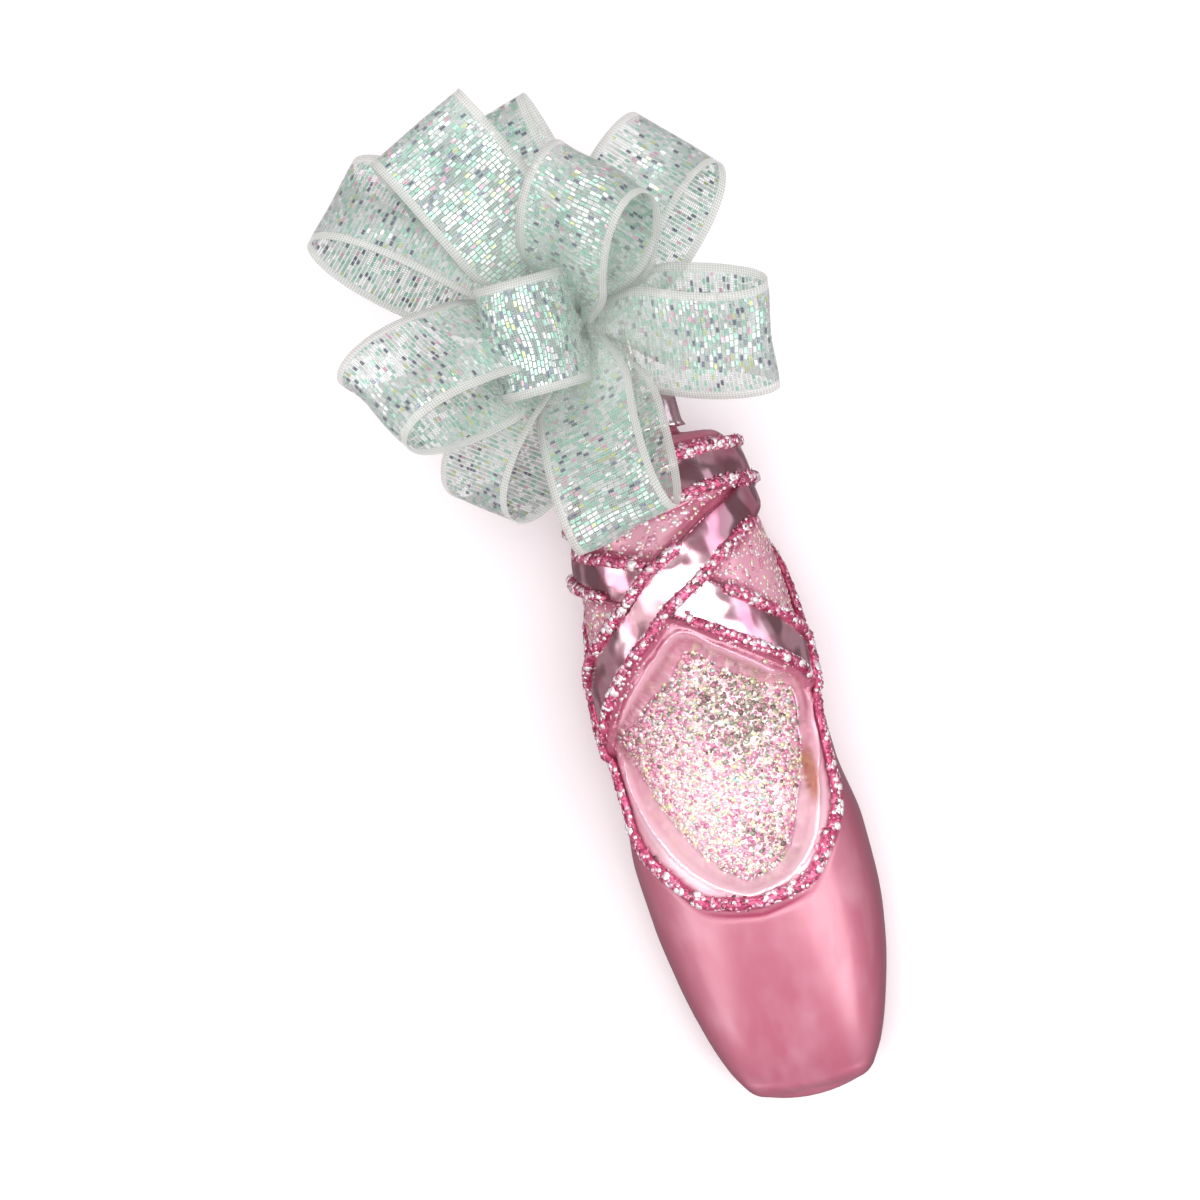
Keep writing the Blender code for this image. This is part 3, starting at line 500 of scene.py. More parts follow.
# The bow's loops: which way each points, its reach and opening in ribbon widths, and how it leans
Loop = namedtuple("Loop", "name turn reach opening rise roll curl")
BOW_LOOPS = [
    Loop("bow_loop_upper_left", -27, 2.18, 0.50, 10, -8, 0.3),
    Loop("bow_loop_back", -15, 1.96, 0.50, -6, 8, -0.2),
    Loop("bow_loop_left", -52, 2.36, 0.66, 2, -38, 0.4),
    Loop("bow_loop_lower_left", -101, 2.18, 0.62, 34, -38, -0.5),
    Loop("bow_loop_upper_right", 42, 1.78, 0.62, 4, 28, 0.4),
    Loop("bow_loop_right", 108, 1.78, 0.52, 20, -28, -0.3),
    Loop("bow_loop_front", 22, 1.62, 0.66, 38, 32, 0.3),
    Loop("bow_loop_middle", -97, 1.15, 0.66, 58, 6, 0.2),
    Loop("bow_loop_bottom", 178, 2.12, 0.46, 30, -24, 0.5),
    Loop("bow_loop_bottom_left", -140, 1.80, 0.62, 6, -50, -0.4),
]

FLOOR_HALF = 1.5
SENSOR_WIDTH = 36.0
CAMERA_TARGET = Vector((-0.0129, 0.0046, 0.015))
LAMP_TARGET = Vector((0.0, 0.0, 0.015))
ROOM_COLOUR = (0.47, 0.31, 0.36)
ROOM_STRENGTH = 0.60
WHITE = (1.0, 1.0, 1.0)
# The soft lights, each with its share of the key light's power
Lamp = namedtuple("Lamp", "name place wide tall share colour")
LAMPS = [
    Lamp("right_softbox", (0.50, -0.30, 0.78), 0.70, 1.40, 0.95, WHITE),
    Lamp("left_softbox", (-0.62, -0.30, 0.72), 0.60, 1.40, 0.50, WHITE),
    Lamp("top", (0.0, 0.10, 1.60), 0.70, 0.70, 0.55, WHITE),
    Lamp("far", (-0.10, 0.95, 0.75), 0.80, 0.30, 0.50, WHITE),
    Lamp("left_card", (-0.90, 0.18, 0.46), 0.60, 0.46, 0.16, WHITE),
    Lamp("right_card", (0.90, 0.18, 0.46), 0.60, 0.46, 0.12, (0.90, 0.87, 1.0)),
]


class OrnamentFinish(bpy.types.PropertyGroup):
    """Colours and surface values of the ornament."""

    lacquer: bpy.props.FloatVectorProperty(
        name="Lacquer",
        description="Pearl pink lacquer over the silvered glass",
        subtype="COLOR",
        size=3,
        default=(0.52, 0.145, 0.215),
    )
    # Painted shade: the darker lacquer laid down the shoe's sides
    lacquer_side_shade: bpy.props.FloatVectorProperty(
        name="Deep lacquer",
        description="Where the lacquer ran down the sides and pooled",
        subtype="COLOR",
        size=3,
        default=(0.28, 0.035, 0.085),
    )
    lacquer_light: bpy.props.FloatVectorProperty(
        name="Pale lacquer",
        description="Where the lacquer is thin",
        subtype="COLOR",
        size=3,
        default=(0.68, 0.34, 0.41),
    )
    ribbon_silver: bpy.props.FloatVectorProperty(
        name="Ribbon silver",
        description="Bright silvered ribbons with a thin pink wash",
        subtype="COLOR",
        size=3,
        default=(0.97, 0.74, 0.79),
    )
    ribbon_wash: bpy.props.FloatVectorProperty(
        name="Ribbon wash",
        description="Where pink lacquer drifted onto the ribbons",
        subtype="COLOR",
        size=3,
        default=(0.86, 0.42, 0.54),
    )
    # Painted reflection: dark patches laid at random over the ribbons' silver
    ribbon_dark_reflection: bpy.props.FloatVectorProperty(
        name="Ribbon smoke",
        description="Where the silvering behind the ribbons is thin",
        subtype="COLOR",
        size=3,
        default=(0.30, 0.17, 0.19),
    )
    # Painted shade: the darker pink laid in the creases beside the glitter, in the throat's fold and round
    # the toe platform
    painted_shade: bpy.props.FloatVectorProperty(
        name="Groove",
        description="Where lacquer gathered beside the glitter",
        subtype="COLOR",
        size=3,
        default=(0.40, 0.03, 0.11),
    )
    throat: bpy.props.FloatVectorProperty(
        name="Throat wall",
        description="The smooth wall round the throat's floor",
        subtype="COLOR",
        size=3,
        default=(0.80, 0.44, 0.54),
    )
    # Painted light: the throat's wall paler towards the toe
    throat_highlight: bpy.props.FloatVectorProperty(
        name="Pale throat wall",
        description="The throat's wall towards the toe",
        subtype="COLOR",
        size=3,
        default=(0.88, 0.62, 0.69),
    )
    thin_lacquer: bpy.props.FloatVectorProperty(
        name="Thin lacquer",
        description="The small brown patch in the throat's wall",
        subtype="COLOR",
        size=3,
        default=(0.50, 0.17, 0.10),
    )
    lacquer_roughness: bpy.props.FloatProperty(
        name="Lacquer roughness",
        description="Roughness of the satin lacquer",
        min=0.0,
        max=1.0,
        default=0.40,
    )
    ribbon_roughness: bpy.props.FloatProperty(
        name="Ribbon roughness",
        description="Roughness of the bright ribbons",
        min=0.0,
        max=1.0,
        default=0.15,
    )
    metal: bpy.props.FloatVectorProperty(
        name="Metal",
        description="Silver-coloured cap and wire",
        subtype="COLOR",
        size=3,
        default=(0.93, 0.90, 0.88),
    )
    dull_metal: bpy.props.FloatVectorProperty(
        name="Dull metal",
        description="Where the plating has dulled",
        subtype="COLOR",
        size=3,
        default=(0.80, 0.70, 0.71),
    )


class OrnamentGlitter(bpy.types.PropertyGroup):
    """Sizes and amounts of the glitter."""

    flake_size: bpy.props.FloatProperty(
        name="Flake size",
        description="Distance across a glitter flake's corners",
        unit="LENGTH",
        min=0.0001,
        default=0.00054,
    )
    flake_thickness: bpy.props.FloatProperty(
        name="Flake thickness",
        description="Thickness of a glitter flake",
        unit="LENGTH",
        min=0.00001,
        default=0.00004,
    )
    throat_flakes: bpy.props.IntProperty(
        name="Throat flakes",
        description="Flakes on the throat's floor",
        min=1,
        default=5000,
    )
    patch_flakes: bpy.props.IntProperty(
        name="Ankle flakes",
        description="Flakes between the ribbons",
        min=1,
        default=1000,
    )
    flakes_per_metre: bpy.props.IntProperty(
        name="Flakes per metre",
        description="Flakes along each metre of a glitter line",
        min=1,
        default=11500,
    )
    line_width: bpy.props.FloatProperty(
        name="Line width",
        description="Width of a glitter line",
        unit="LENGTH",
        min=0.0001,
        default=0.0016,
    )


class OrnamentBow(bpy.types.PropertyGroup):
    """Sizes and colours of the bow's ribbon."""

    thickness: bpy.props.FloatProperty(
        name="Ribbon thickness",
        description="Thickness of the sheer ribbon",
        unit="LENGTH",
        min=0.00005,
        default=0.00016,
    )
    weft_pitch: bpy.props.FloatProperty(
        name="Weft pitch",
        description="Distance between the flat shining threads",
        unit="LENGTH",
        min=0.0001,
        default=0.00060,
    )
    cell_length: bpy.props.FloatProperty(
        name="Float length",
        description="Length of a shining thread between the binding threads",
        unit="LENGTH",
        min=0.0001,
        default=0.00095,
    )
    selvedge: bpy.props.FloatProperty(
        name="Selvedge",
        description="Width of the plain woven edge",
        unit="LENGTH",
        min=0.0001,
        default=0.0012,
    )
    cloth: bpy.props.FloatVectorProperty(
        name="Cloth",
        description="Colour of the sheer threads",
        subtype="COLOR",
        size=3,
        default=(0.78, 0.88, 0.81),
    )
    cloth_far: bpy.props.FloatVectorProperty(
        name="Cloth of the loops' ends",
        description="Colour of the sheer threads where one layer shows by itself",
        subtype="COLOR",
        size=3,
        default=(0.48, 0.60, 0.56),
    )
    edge: bpy.props.FloatVectorProperty(
        name="Edge",
        description="Colour of the selvedge",
        subtype="COLOR",
        size=3,
        default=(0.68, 0.72, 0.68),
    )


class OrnamentStage(bpy.types.PropertyGroup):
    """Camera and light."""

    frame_width: bpy.props.FloatProperty(
        name="Frame width",
        description="Width of what the camera sees at the ornament",
        unit="LENGTH",
        min=0.01,
        default=0.1656,
    )
    distance: bpy.props.FloatProperty(
        name="Camera distance",
        description="Distance from the camera to the ornament",
        unit="LENGTH",
        min=0.1,
        default=0.9,
    )
    roll: bpy.props.FloatProperty(
        name="Roll",
        description="How far the ornament leans in the picture",
        subtype="ANGLE",
        default=math.radians(13.0),
    )
    side: bpy.props.FloatProperty(
        name="Side angle",
        description="How far round to the +X side the camera stands",
        subtype="ANGLE",
        default=math.radians(4.5),
    )
    key: bpy.props.FloatProperty(
        name="Key light",
        description="Power of the large soft light",
        unit="POWER",
        min=0.0,
        default=9.5,
    )


def ease(share):
    """0 to 1 with no slope at either end."""
    share = np.clip(share, 0.0, 1.0)
    return share * share * (3.0 - 2.0 * share)


def read(table, column, at):
    """A table's column between its rows, on a smooth curve that never overshoots a row."""
    key = np.array([row[0] for row in table], float)
    value = np.array([getattr(row, column) for row in table], float)
    at = np.clip(np.asarray(at, float), key[0], key[-1])
    span = np.diff(key)
    slope = np.diff(value) / span
    tangent = np.empty(len(key))
    tangent[0], tangent[-1] = slope[0], slope[-1]
    before, after = slope[:-1], slope[1:]
    product = before * after
    total = np.where(product > 0.0, before + after, 1.0)
    tangent[1:-1] = np.where(product > 0.0, 2.0 * product / total, 0.0)
    i = np.clip(np.searchsorted(key, at, side="right") - 1, 0, len(key) - 2)
    t = (at - key[i]) / span[i]
    return (
        value[i] * (1.0 + 2.0 * t) * (1.0 - t) ** 2
        + span[i] * tangent[i] * t * (1.0 - t) ** 2
        + value[i + 1] * t * t * (3.0 - 2.0 * t)
        + span[i] * tangent[i + 1] * t * t * (t - 1.0)
    )


def power(base, exponent):
    """A power that keeps the sign."""
    return np.sign(base) * np.abs(base) ** exponent


def unit(vectors):
    return vectors / np.linalg.norm(vectors, axis=-1, keepdims=True)


def wrapped(turn):
    """The same turn, from -180 to 180."""
    return (np.asarray(turn, float) + 180.0) % 360.0 - 180.0


def spread(runs):
    """Evenly spaced values through each run."""
    return np.concatenate([np.linspace(run.first, run.last, run.count) for run in runs])


def y_at(along):
    return (along - HEEL_ALONG) * SHOE_LENGTH


def along_at(y):
    return y / SHOE_LENGTH + HEEL_ALONG


def section_at(along):
    """The cross-section's middle, half width, heights of underside, side and crown, and squareness."""
    return (
        read(SECTIONS, "shift", along) * BALL_WIDTH,
        read(SECTIONS, "width", along) * BALL_WIDTH / 2.0,
        read(SECTIONS, "under", along) * INSTEP_HEIGHT,
        read(SECTIONS, "side", along) * INSTEP_HEIGHT,
        read(SECTIONS, "crown", along) * INSTEP_HEIGHT,
        read(SECTIONS, "square", along),
    )


def skin(along, turn, lift=0.0):
    """Points of the plain last, lifted square to its cross-sections."""
    along, turn = np.broadcast_arrays(np.asarray(along, float), np.asarray(turn, float))
    middle, half, under, side, crown, square = section_at(along)
    across, up = np.sin(np.radians(turn)), np.cos(np.radians(turn))
    up = np.where(np.abs(up) < TINY, 0.0, up)
    across = np.where(np.abs(across) < TINY, 0.0, across)
    tall = np.where(up >= 0.0, crown - side, side - under)
    square = np.where(up >= 0.0, square, SOLE_SQUARE)
    x, z = power(across, 2.0 / square), power(up, 2.0 / square)
    out_x, out_z = power(x, square - 1.0) / half, power(z, square - 1.0) / tall
    size = np.hypot(out_x, out_z)
    return np.stack([
        middle + half * x + out_x / size * lift,
        y_at(along),
        side + tall * z + out_z / size * lift,
    ], axis=-1)


def up_from_glass(along, turn):
    """Directions square to the last's cross-sections."""
    return skin(along, turn, GLASS_WALL) - skin(along, turn)


def tilt_of(band, turn):
    """The angle between a ribbon and a straight wrap round the shoe."""
    rise = (read(band, "along", turn + 1.0) - read(band, "along", turn - 1.0)) * SHOE_LENGTH
    return np.arctan2(rise, 2.0 * math.radians(1.0) * ANKLE_RADIUS)


def ribbon_half(band, turn):
    """Half a ribbon's width, measured along the shoe, as a share of its length."""
    return read(band, "width", turn) * RIBBON_WIDTH / 2.0 / np.cos(tilt_of(band, turn)) / SHOE_LENGTH


def ribbon_place(band, along, turn):
    """How far inside a ribbon's edge a place is, in metres, and its share of the way from the middle."""
    offset = np.abs(along - read(band, "along", turn))
    half = ribbon_half(band, turn)
    inside = (half - offset) * SHOE_LENGTH * np.cos(tilt_of(band, turn))
    runs = (turn >= band[0].turn) & (turn <= band[-1].turn)
    return np.where(runs, inside, -1.0), np.clip(offset / half, 0.0, 1.0)


def relief(along, turn):
    """How far the ribbons stand over the last, with their slightly crowned tops."""
    turn = wrapped(turn)
    height = np.zeros(np.broadcast(along, turn).shape)
    for band in BANDS.values():
        inside, share = ribbon_place(band, along, turn)
        crowned = RIBBON_EDGE_SHARE + (1.0 - RIBBON_EDGE_SHARE) * (1.0 - share ** 2)
        cover = ease(inside / RIBBON_SOFT + 0.5)
        height = np.maximum(height, cover * crowned * read(band, "lift", turn) * RIBBON_RAISE)
    return height


def in_ribbon(along, turn, inset=SHINE_INSET, soft=SHINE_SOFT):
    """1 inside a ribbon's edge, or inside a line set in from it."""
    turn = wrapped(turn)
    cover = np.zeros(np.broadcast(along, turn).shape)
    for band in BANDS.values():
        inside, _ = ribbon_place(band, along, turn)
        shows = read(band, "lift", turn) > RIBBON_SHOWS_LIFT
        cover = np.maximum(cover, ease((inside - inset) / soft + 0.5) * shows)
    return cover


def past_topline(along, turn):
    """How far a place is past the shoe's edge towards the neck, in metres."""
    return (along - read(TOPLINE, "along", np.abs(wrapped(turn)))) * SHOE_LENGTH


def past_ridge(along, turn):
    """How far a place is past the soft ridge round the toe platform, in metres."""
    return (along - read(RIDGE, "along", wrapped(turn))) * SHOE_LENGTH


def ridge(along, turn):
    """1 on the soft ridge round the toe platform, fading out to the sole."""
    high = np.exp(-(past_ridge(along, turn) / RIDGE_WIDTH) ** 2)
    return high * ease((RIDGE_END_TURN - np.abs(wrapped(turn))) / RIDGE_FADE_TURN)


def throat_polar(x, y):
    """Turn and distance from the throat's middle."""
    ahead = y_at(THROAT_ALONG) - y
    across = x - THROAT_X
    return np.degrees(np.arctan2(across, ahead)) % 360.0, np.hypot(across, ahead)


def throat_share(x, y):
    """0 at the throat's rim, 1 at the edge of its floor."""
    turn, distance = throat_polar(x, y)
    rim = read(THROAT, "rim", turn) * THROAT_REACH
    floor = read(THROAT, "floor", turn) * THROAT_REACH
    return (rim - distance) / (rim - floor)


def floor_height(x, y):
    """Height of the throat's bowed floor."""
    near = y_at(THROAT_ALONG) - THROAT_REACH
    share = (y - near) / (2.0 * THROAT_REACH)
    slope = FLOOR_TOE_HEIGHT + (FLOOR_ANKLE_HEIGHT - FLOOR_TOE_HEIGHT) * share
    return slope - FLOOR_BOW * ((x - THROAT_X) / THROAT_REACH) ** 2


def throat_edges():
    """Heights of the throat's rim and of its floor's edge, degree by degree."""
    turn = np.arange(361.0)
    rim = read(THROAT, "rim", turn) * THROAT_REACH
    x = THROAT_X + rim * np.sin(np.radians(turn))
    y = y_at(THROAT_ALONG) - rim * np.cos(np.radians(turn))
    middle, half, _, side, crown, square = section_at(along_at(y))
    share = np.clip((x - middle) / half, -1.0, 1.0)
    high = side + (crown - side) * (1.0 - np.abs(share) ** square) ** (1.0 / square)
    skin_turn = np.degrees(np.arcsin(power(share, square / 2.0)))
    high = high + relief(along_at(y), skin_turn)
    floor = read(THROAT, "floor", turn) * THROAT_REACH
    x = THROAT_X + floor * np.sin(np.radians(turn))
    y = y_at(THROAT_ALONG) - floor * np.cos(np.radians(turn))
    return high, floor_height(x, y)


RIM_HEIGHT, FLOOR_EDGE_HEIGHT = throat_edges()


def dished(points, turn):
    """The points sunk into the throat where they are over it."""
    x, y = points[..., 0], points[..., 1]
    share = throat_share(x, y)
    at, _ = throat_polar(x, y)
    degree = np.arange(361.0)
    high = np.interp(at, degree, RIM_HEIGHT)
    low = np.interp(at, degree, FLOOR_EDGE_HEIGHT)
    wall = high + (low - high) * ease(share)
    inside = (share > 0.0) & (np.abs(wrapped(turn)) < CROWN_TURN)
    points[..., 2] = np.where(inside, np.where(share < 1.0, wall, floor_height(x, y)), points[..., 2])
    return points


def soled(points, along, turn):
    """The points of the underside pressed out to the sole, a step in the wall."""
    middle = section_at(along)[0]
    half = read(SOLE, "width", along) * SOLE_WIDTH / 2.0
    height = read(SOLE, "lift", along) * SOLE_ARCH
    ends = np.minimum(along - SOLE[0].along, SOLE[-1].along - along) * SHOE_LENGTH
    inside = np.minimum(half - np.abs(points[..., 0] - middle), ends)
    cover = ease(inside / SOLE_SOFT + 0.5) * (np.abs(wrapped(turn)) > SOLE_TURN)
    points[..., 2] += cover * (height - points[..., 2])
    return points


def outer(along, turn, lift=0.0):
    """Points of the glass's outer face."""
    along, turn = np.broadcast_arrays(np.asarray(along, float), np.asarray(turn, float))
    raised = relief(along, turn)
    past = past_topline(along, turn)
    bare = ease(past / RIBBON_SOFT + 0.5) * (1.0 - np.clip(raised / RIBBON_RAISE, 0.0, 1.0))
    crease = np.exp(-((past + CREASE_PLACE) / CREASE_WIDTH) ** 2) * (raised < SHOWING_RELIEF)
    lift = lift + ridge(along, turn) * RIDGE_HEIGHT - crease * CREASE_DEPTH
    points = skin(along, turn, raised - bare * ANKLE_DROP + lift)
    return dished(soled(points, along, turn), turn)


def facing(along, turn):
    """Unit vectors square to the glass's outer face."""
    ahead = outer(along + FACING_REACH, turn) - outer(along - FACING_REACH, turn)
    aside = outer(along, turn + FACING_TURN) - outer(along, turn - FACING_TURN)
    up = unit(np.cross(ahead, aside))
    return up * np.sign(np.sum(up * up_from_glass(along, turn), axis=-1, keepdims=True))


def mouth_y():
    """Where the neck ends."""
    return y_at(SECTIONS[-1].along) + SHOULDER_RISE + NECK_LENGTH


def bow_middle():
    """The middle of the bow's knot."""
    return Vector((
        NECK_X + BOW_ASIDE_OF_NECK,
        mouth_y() + BOW_BEYOND_NECK,
        NECK_HEIGHT + BOW_ABOVE_NECK,
    ))


def neck_ring(radius, y, ring):
    """A ring of the neck whose points face those of another ring."""
    out = ring[:, [0, 2]] - np.array([NECK_X, NECK_HEIGHT])
    out /= np.linalg.norm(out, axis=1, keepdims=True)
    x, z = NECK_X + out[:, 0] * radius, NECK_HEIGHT + out[:, 1] * radius
    return np.stack([x, np.full(len(ring), y), z], axis=1)


def shoulder_rings(ring, radius, rise, start):
    """Rings that draw a ring in to the neck."""
    base = neck_ring(radius, start, ring)
    rings = []
    for step in SHOULDER:
        points = ring + (base - ring) * step.inward
        points[:, 1] = start + step.rise * rise
        rings.append(points)
    return rings


def glass_rings(turns):
    """Every ring of the glass, from the toe out to the neck's mouth and back along the inside."""
    alongs = spread(RING_RUNS)
    rings = [outer(np.full(len(turns), along), turns) for along in alongs]
    toe = rings[0].mean(axis=0)
    front = rings[0] - toe
    for share in PLATFORM_SHARES:
        bulge = np.array([0.0, -PLATFORM_BULGE * (1.0 - share ** 2), 0.0])
        rings.insert(0, toe + front * share + bulge)
    start = y_at(SECTIONS[-1].along)
    neck = start + SHOULDER_RISE
    rings += shoulder_rings(rings[-1], NECK_RADIUS, SHOULDER_RISE, start)
    rings += [neck_ring(NECK_RADIUS, neck + reach, rings[-1]) for reach in NECK_RINGS]
    bore = NECK_RADIUS - GLASS_WALL
    rings.append(neck_ring(bore, neck + NECK_LENGTH, rings[-1]))
    inner_alongs = np.linspace(SECTIONS[-1].along - INSIDE_END, INSIDE_END, INSIDE_RINGS)
    inside = [inner_ring(along, turns) for along in inner_alongs]
    rise = start + SHOULDER_RISE - GLASS_WALL - inside[0][0, 1]
    rings += shoulder_rings(inside[0], bore, rise, inside[0][0, 1])[::-1]
    rings += inside
    rings.append(np.tile(inside[-1].mean(axis=0), (len(turns), 1)))
    return rings, alongs


def inner_ring(along, turns):
    """A ring of the glass's inner face, a wall's thickness inside the outer one."""
    points = skin(np.full(len(turns), along), turns, -GLASS_WALL)
    x, y = points[:, 0], points[:, 1]
    turn, distance = throat_polar(x, y)
    rim = read(THROAT, "rim", turn) * THROAT_REACH + THROAT_WALL
    floor = read(THROAT, "floor", turn) * THROAT_REACH + THROAT_WALL
    share = ease((rim - distance) / (rim - floor)) * (np.abs(wrapped(turns)) < CROWN_TURN)
    low = np.minimum(floor_height(x, y) - THROAT_WALL, points[:, 2])
    points[:, 2] += share * (low - points[:, 2])
    return points


def column_turns():
    """The turn of each column of the glass, closer together on the crown."""
    crown = np.linspace(-90.0, 90.0, CROWN_COLUMNS + 1)
    under = np.linspace(90.0, 270.0, UNDER_COLUMNS + 1)[1:]
    return np.concatenate([crown, under])


def grid(columns, rows):
    """A flat grid to be shaped, with each vertex's column and row."""
    bm = bmesh.new()
    bmesh.ops.create_grid(bm, x_segments=columns, y_segments=rows, size=0.5)
    column = np.rint([(vertex.co.x + 0.5) * columns for vertex in bm.verts]).astype(int)
    row = np.rint([(vertex.co.y + 0.5) * rows for vertex in bm.verts]).astype(int)
    return bm, column, row


def set_points(bm, points):
    for vertex, point in zip(bm.verts, points):
        vertex.co = point


def set_mask(bm, name, values):
    """Keeps a value for each point, which a material reads by name."""
    layer = bm.verts.layers.float.new(name)
    for vertex, value in zip(bm.verts, values):
        vertex[layer] = value


def weld(bm):
    """Closes seams and poles."""
    bmesh.ops.remove_doubles(bm, verts=bm.verts, dist=WELD)


def finished(bm, name, material):
    """An object of the finished mesh, with its faces pointing out."""
    bmesh.ops.recalc_face_normals(bm, faces=bm.faces)
    mesh = bpy.data.meshes.new(name)
    bm.to_mesh(mesh)
    bm.free()
    mesh.shade_smooth()
    mesh.materials.append(material)
    piece = bpy.data.objects.new(name, mesh)
    bpy.context.scene.collection.objects.link(piece)
    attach(piece, "root")
    return piece


class Nodes:
    """Adds linked shader nodes to a new material."""

    def __init__(self, name):
        self.material = bpy.data.materials.new(name)
        self.material.use_nodes = True
        self.tree = self.material.node_tree
        self.shader = self.tree.nodes["Principled BSDF"]

    def add(self, kind, values=None, **settings):
        """A node with its settings, and with numbers or links on its sockets."""
        node = self.tree.nodes.new(kind)
        for key, value in settings.items():
            setattr(node, key, value)
        for key, value in (values or {}).items():
            self.put(node.inputs[key], value)
        return node

    def put(self, socket, value):
        if isinstance(value, bpy.types.NodeSocket):
            self.tree.links.new(value, socket)
        elif socket.type == "RGBA":
            socket.default_value = (*value, 1.0)
        else:
            socket.default_value = value

    def set(self, **values):
        """Numbers or links on the surface shader's sockets."""
        for key, value in values.items():
            self.put(self.shader.inputs[key.replace("_", " ")], value)

    def mask(self, name):
        """A mask painted on the mesh's points."""
        return self.add("ShaderNodeAttribute", attribute_name=name).outputs["Fac"]

    def place(self, scale=(1.0, 1.0, 1.0)):
        """The place in the object, stretched."""
        coordinates = self.add("ShaderNodeTexCoord").outputs["Object"]
        return self.add("ShaderNodeMapping", {"Vector": coordinates, "Scale": scale}).outputs["Vector"]

    def noise(self, scale, detail=2.0, stretch=(1.0, 1.0, 1.0)):
        values = {"Vector": self.place(stretch), "Scale": scale, "Detail": detail}
        return self.add("ShaderNodeTexNoise", values).outputs["Fac"]

    def ramp(self, factor, low, high, ends=(0.0, 1.0)):
        """A number's span from low to high, made to run between the ends."""
        values = {"Value": factor, "From Min": low, "From Max": high, "To Min": ends[0], "To Max": ends[1]}
        return self.add("ShaderNodeMapRange", values, clamp=True).outputs["Result"]

    def mix(self, factor, first, second):
        """A colour between two others."""
        node = self.add("ShaderNodeMix", data_type="RGBA", clamp_factor=True)
        for socket, value in zip((node.inputs[0], node.inputs[6], node.inputs[7]), (factor, first, second)):
            self.put(socket, value)
        return node.outputs[2]

    def math(self, operation, first, second=0.0):
        node = self.add("ShaderNodeMath", operation=operation)
        for socket, value in zip(node.inputs, (first, second)):
            self.put(socket, value)
        return node.outputs[0]

    def blend(self, factor, first, second):
        """A number between two others."""
        node = self.add("ShaderNodeMix", data_type="FLOAT", clamp_factor=True)
        for socket, value in zip((node.inputs[0], node.inputs[2], node.inputs[3]), (factor, first, second)):
            self.put(socket, value)
        return node.outputs[0]

    def bump(self, height, distance, strength=1.0, below=None):
        values = {"Height": height, "Distance": distance, "Strength": strength}
        if below is not None:
            values["Normal"] = below
        return self.add("ShaderNodeBump", values).outputs["Normal"]


def lacquer_colour(made, finish, clouds):
    """Streaked pearl lacquer, darker down the sides with painted shade."""
    streaks = made.noise(1.0, 2.0, LACQUER_STREAKS)
    patchy = made.ramp(clouds, 0.35, 0.70, (0.15, 0.60))
    pale = made.math("MULTIPLY", made.ramp(streaks, 0.40, 0.64), patchy)
    lacquer = made.mix(pale, finish.lacquer, finish.lacquer_light)
    # Painted shade: the deep mask darkens the lacquer down the sides
    return made.mix(made.mask("deep"), lacquer, finish.lacquer_side_shade)


def ribbon_colour(made, finish):
    """Bright silver with drifts of pink, and painted dark reflections in random patches."""
    wash = made.ramp(made.noise(210.0, 2.0), 0.38, 0.62)
    silver = made.mix(wash, finish.ribbon_silver, finish.ribbon_wash)
    # Painted reflection: dark patches at random over the silver
    dark_reflection = made.ramp(made.noise(150.0, 1.0, (1.0, 1.0, 1.6)), 0.52, 0.60, (0.0, 0.80))
    return made.mix(dark_reflection, silver, finish.ribbon_dark_reflection)


def throat_colour(made, finish):
    """The throat's wall, with a painted highlight making it paler towards the toe."""
    place = made.add("ShaderNodeSeparateXYZ", {"Vector": made.place()})
    middle = y_at(THROAT_ALONG)
    # Painted highlight: paler towards the toe
    towards_toe = made.ramp(place.outputs["Y"], middle + THROAT_HIGHLIGHT_FROM, middle - THROAT_HIGHLIGHT_TO)
    return made.mix(towards_toe, finish.throat, finish.throat_highlight)


def lacquered_glass(finish):
    """Silvered glass: satin pearl lacquer on the shoe, bright pink silver on the ribbons."""
    made = Nodes("Lacquered glass")
    ribbon, throat = made.mask("ribbon"), made.mask("throat")
    clouds = made.noise(110.0, 2.0)
    colour = made.mix(throat, lacquer_colour(made, finish, clouds), throat_colour(made, finish))
    colour = made.mix(ribbon, colour, ribbon_colour(made, finish))
    # Painted shade in the creases beside the glitter, in the throat's fold and round the toe platform
    colour = made.mix(made.mask("painted_shade"), colour, finish.painted_shade)
    colour = made.mix(made.mask("bare"), colour, finish.thin_lacquer)
    satin = made.ramp(clouds, 0.3, 0.7, (finish.lacquer_roughness - 0.02, finish.lacquer_roughness + 0.03))
    grain = made.bump(made.noise(5200.0, 1.0), 0.00001, 0.2)
    ripple = made.math("MULTIPLY", made.noise(190.0, 1.0), made.blend(ribbon, 0.10, 1.0))
    made.set(
        Base_Color=colour,
        Metallic=made.blend(ribbon, made.blend(throat, 0.25, 0.20), 0.94),
        Roughness=made.blend(ribbon, made.blend(throat, satin, 0.20), finish.ribbon_roughness),
        Normal=made.bump(ripple, 0.0007, 0.9, grain),
        Coat_Weight=made.blend(ribbon, 1.0, 0.15),
        Coat_Roughness=0.26,
        Coat_IOR=1.75,
    )
    return made.material


def flake_material(name, roughness):
    """Metallised film, each flake with its own colour."""
    made = Nodes(name)
    tint = made.add("ShaderNodeAttribute", attribute_name="flake")
    made.set(
        Base_Color=tint.outputs["Color"],
        Metallic=0.35,
        Roughness=roughness,
        Coat_Weight=0.4,
        Coat_Roughness=0.08,
    )
    return made.material


